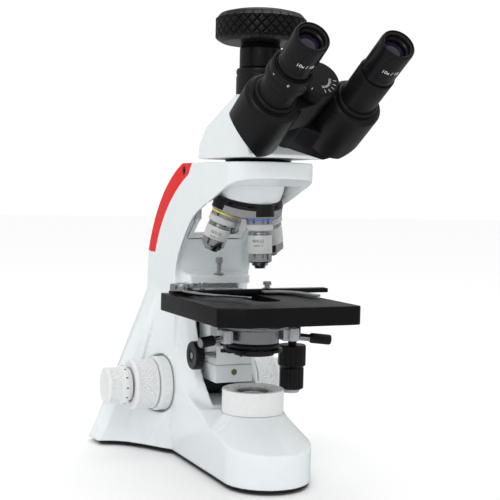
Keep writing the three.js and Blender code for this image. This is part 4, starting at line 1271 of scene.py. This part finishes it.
piece(
    block("dial_index", (13.6, 15.4), (-0.3, 0.3), (74.9, 75.07), EYES @ turned("Z", -132)), PRINT,
    "head",
)


def eyepiece(side, sign):
    at = EYES @ moved(sign * TUBE_X, TUBE_Y, 0)
    body = f"eyepiece_{side}"
    corners = [
        (9.2, 45), (11.6, 45), (11.6, 99.9), (13.6, 99.9), (14, 100.4), (14, 106), (13.7, 106.3),
        (14, 106.6), (14, 125.6), (14, 131), (13.7, 133.8), (12.9, 134.9), (12.2, 134.8),
        (11.2, 131.2), (10.6, 129.4), (9.2, 128.6),
    ]
    tube = spun(f"eyepiece_barrel_{side}", corners, 0.35, at, 128, closed=True)
    piece(tube, EYE_BLACK, body, [body])
    piece(ring(f"eyepiece_rim_{side}", 10.9, 12.3, 131.4, 133.6, at, 0.5), RUBBER, body)
    dome = [(0, 122), (9.3, 122), (9.3, 125.4), *crown(9.3, 125.4, 2.6, (0.3, 0.6, 0.9, 1.2)), (0, 128)]
    piece(lathe(f"eye_lens_{side}", dome, at, 96), LENS, body)
    facing = at @ turned("Z", -96) @ moved(0, 0, 116)
    piece(lettering(f"eyepiece_power_{side}", "10x / 18", 4.4, facing, 14.0), PRINT, body)


for side, sign in SIDES:
    eyepiece(side, sign)
left_tube = EYES @ moved(-TUBE_X, TUBE_Y, 0)
diopter = spun(
    "diopter_grip",
    [
        (14.8, 85), (17.2, 85), (17.8, 85.8), (17.8, 91), (17.2, 92), (17.2, 97.8), (16.6, 99.5),
        (14.8, 99.5),
    ],
    0.4,
    left_tube,
    192,
    flutes(60, 85.9, 90.9, 0.25),
    closed=True,
)
piece(diopter, BLACK, "diopter_ring", ["diopter_ring"])

for i, sign_text in enumerate(("+", "0", "-")):
    at = left_tube @ turned("Z", -162 + 48 * i) @ moved(0, 0, 95.4)
    piece(lettering(f"diopter_figure_{i + 1}", sign_text, 3.6, at, 17.2), PRINT, "diopter_ring")

# ---------- Camera on the vertical tube ----------
collar = [
    (17, 337), (20.2, 337), (20.8, 337.6), (20.8, 352.6), (20.2, 353.2), (20.2, 354.4), (20.8, 355),
    (20.8, 358), (19.8, 359.5), (17, 359.5),
]
piece(
    spun("camera_tube_collar", collar, 0.4, HERE, 128, closed=True), ANODISED, "head",
    ["trinocular_collar"],
)
adapter = [
    (12.2, 345), (16.5, 345), (16.5, 360), (17.8, 360), (18.2, 360.6), (18.2, 376.6), (17.6, 378),
    (16.8, 381), (12.2, 381),
]
piece(
    spun("camera_adapter_tube", adapter, 0.4, HERE, 128, closed=True), EYE_BLACK, "camera",
    ["camera_adapter"],
)
set_screw = moved(0, 0, 371) @ turned("Z", -117) @ turned("Y", 90)
piece(screw_head("adapter_set_screw", 1.9, 0.9, set_screw @ moved(0, 0, 17.7)), ANODISED, "camera")


def camera_body():
    before = [(12, 381.5), (24, 381.5), (33.5, 381.5), (38.4, 384.4)]
    after = [(38.9, 402.4), (35.6, 406.6), (26, 409), (12, 410.8), (0, 411)]
    wall = banded(before, ((39.7, 386), (39.7, 402)), after, 44, 1.4, 1.6)
    pattern = diamonds(30, 8.3, 385.4, 402.6, 1.3, 0.72)
    shell = lathe("camera_shell", [(0, 392), (12, 392), *wall], HERE, 336, pattern)
    return carve(shell, block("socket", (-6.5, 6.5), (30, 60), (388, 395)))


piece(camera_body(), BLACK, "camera", ["camera_body"])


# ---------- Floor, light and camera ----------
def plain(name, shade):
    paint = bpy.data.materials.new(name)
    paint.use_nodes = True
    shader = paint.node_tree.nodes["Principled BSDF"]
    settle(shader, {"Base Color": (shade, shade, shade, 1), "Roughness": 0.9})
    return paint


def studio():
    """A white floor under a white sky; the sky is dimmer where it is reflected, and the floor shows a
    painted dark reflection.
    """
    floor = make(
        "floor", [(-9000, -9000, 0), (9000, -9000, 0), (9000, 9000, 0), (-9000, 9000, 0)],
        [(0, 1, 2, 3)],
    )
    pale = plain("pale_floor", 0.98)
    # For glossy rays the floor is painted dark grey: a painted dark reflection of the floor on shiny parts.
    painted_dark_reflection = pale.node_tree.nodes.new("ShaderNodeMix")
    painted_dark_reflection.data_type = "RGBA"
    settle(painted_dark_reflection, {"A": (0.98, 0.98, 0.98, 1), "B": (0.30, 0.30, 0.31, 1)})
    ray = pale.node_tree.nodes.new("ShaderNodeLightPath").outputs["Is Glossy Ray"]
    pale.node_tree.links.new(ray, painted_dark_reflection.inputs["Factor"])
    shader = pale.node_tree.nodes["Principled BSDF"]
    pale.node_tree.links.new(painted_dark_reflection.outputs["Result"], shader.inputs["Base Color"])
    floor.data.materials.append(pale)
    sky = bpy.data.worlds.new("studio")
    bpy.context.scene.world = sky
    sky.use_nodes = True
    nodes, links = sky.node_tree.nodes, sky.node_tree.links
    rays = nodes.new("ShaderNodeLightPath")
    strength = nodes.new("ShaderNodeMapRange")
    settle(strength, {"To Min": 1.05, "To Max": 0.36})
    links.new(rays.outputs["Is Glossy Ray"], strength.inputs["Value"])
    settle(nodes["Background"], {"Color": (1, 1, 1, 1)})
    links.new(strength.outputs["Result"], nodes["Background"].inputs["Strength"])


def flag(name, place, target, width, height):
    """A dark card beside the camera: it gives the bright metal something to reflect."""
    card = block(name, (-width / 2, width / 2), (-height / 2, height / 2), (-2, 2))
    card.data.materials.append(plain(name, 0.03))
    towards = (Vector(target) - Vector(place)).to_track_quat("-Z", "Y")
    card.matrix_world = Matrix.Translation(place) @ towards.to_matrix().to_4x4()
    card.visible_camera = False


def softbox(name, place, target, size, power):
    lamp = bpy.data.lights.new(name, "AREA")
    lamp.shape = "RECTANGLE"
    lamp.size, lamp.size_y = size
    lamp.energy = power
    obj = linked(name, lamp)
    obj.location = place
    obj.rotation_euler = (Vector(target) - Vector(place)).to_track_quat("-Z", "Y").to_euler()


def photo_camera():
    """The camera stands at the user's left, a little above the stage, and looks slightly down."""
    azimuth, pitch, roll = (math.radians(a) for a in (-24.81, 3.0, 1.29))
    forward = Vector(
        (-math.sin(azimuth) * math.cos(pitch), math.cos(azimuth) * math.cos(pitch), -math.sin(pitch))
    )
    level = Vector((math.cos(azimuth), math.sin(azimuth), 0))
    above = level.cross(forward)
    right = level * math.cos(roll) + above * math.sin(roll)
    upward = above * math.cos(roll) - level * math.sin(roll)
    data = bpy.data.cameras.new("camera")
    data.lens = 78.54
    data.sensor_width = 36
    data.shift_x = -0.0123
    data.shift_y = -0.0020
    camera = linked("camera", data)
    distance = 0.9603
    target = Vector((0, AXIS_Y, 0.20244))
    place = target - forward * distance
    turn = Matrix((right, upward, -forward)).transposed().to_4x4()
    camera.matrix_world = Matrix.Translation(place) @ turn
    bpy.context.scene.camera = camera


studio()
flag("flag_left", (-1.5, -0.35, 0.5), (0, 0, 0.25), 500, 1400)
flag("flag_right", (1.3, -0.9, 0.5), (0, 0, 0.25), 500, 1400)
flag("flag_front", (0.15, -1.6, 0.5), (0, 0, 0.25), 260, 1400)
softbox("key", (-0.9, -1.3, 1.3), (0, 0, 0.2), (0.7, 0.9), 6)
softbox("top", (0.3, 0.3, 1.5), (0, 0, 0.2), (0.9, 0.9), 3)
photo_camera()
bpy.context.scene.view_settings.view_transform = "Standard"
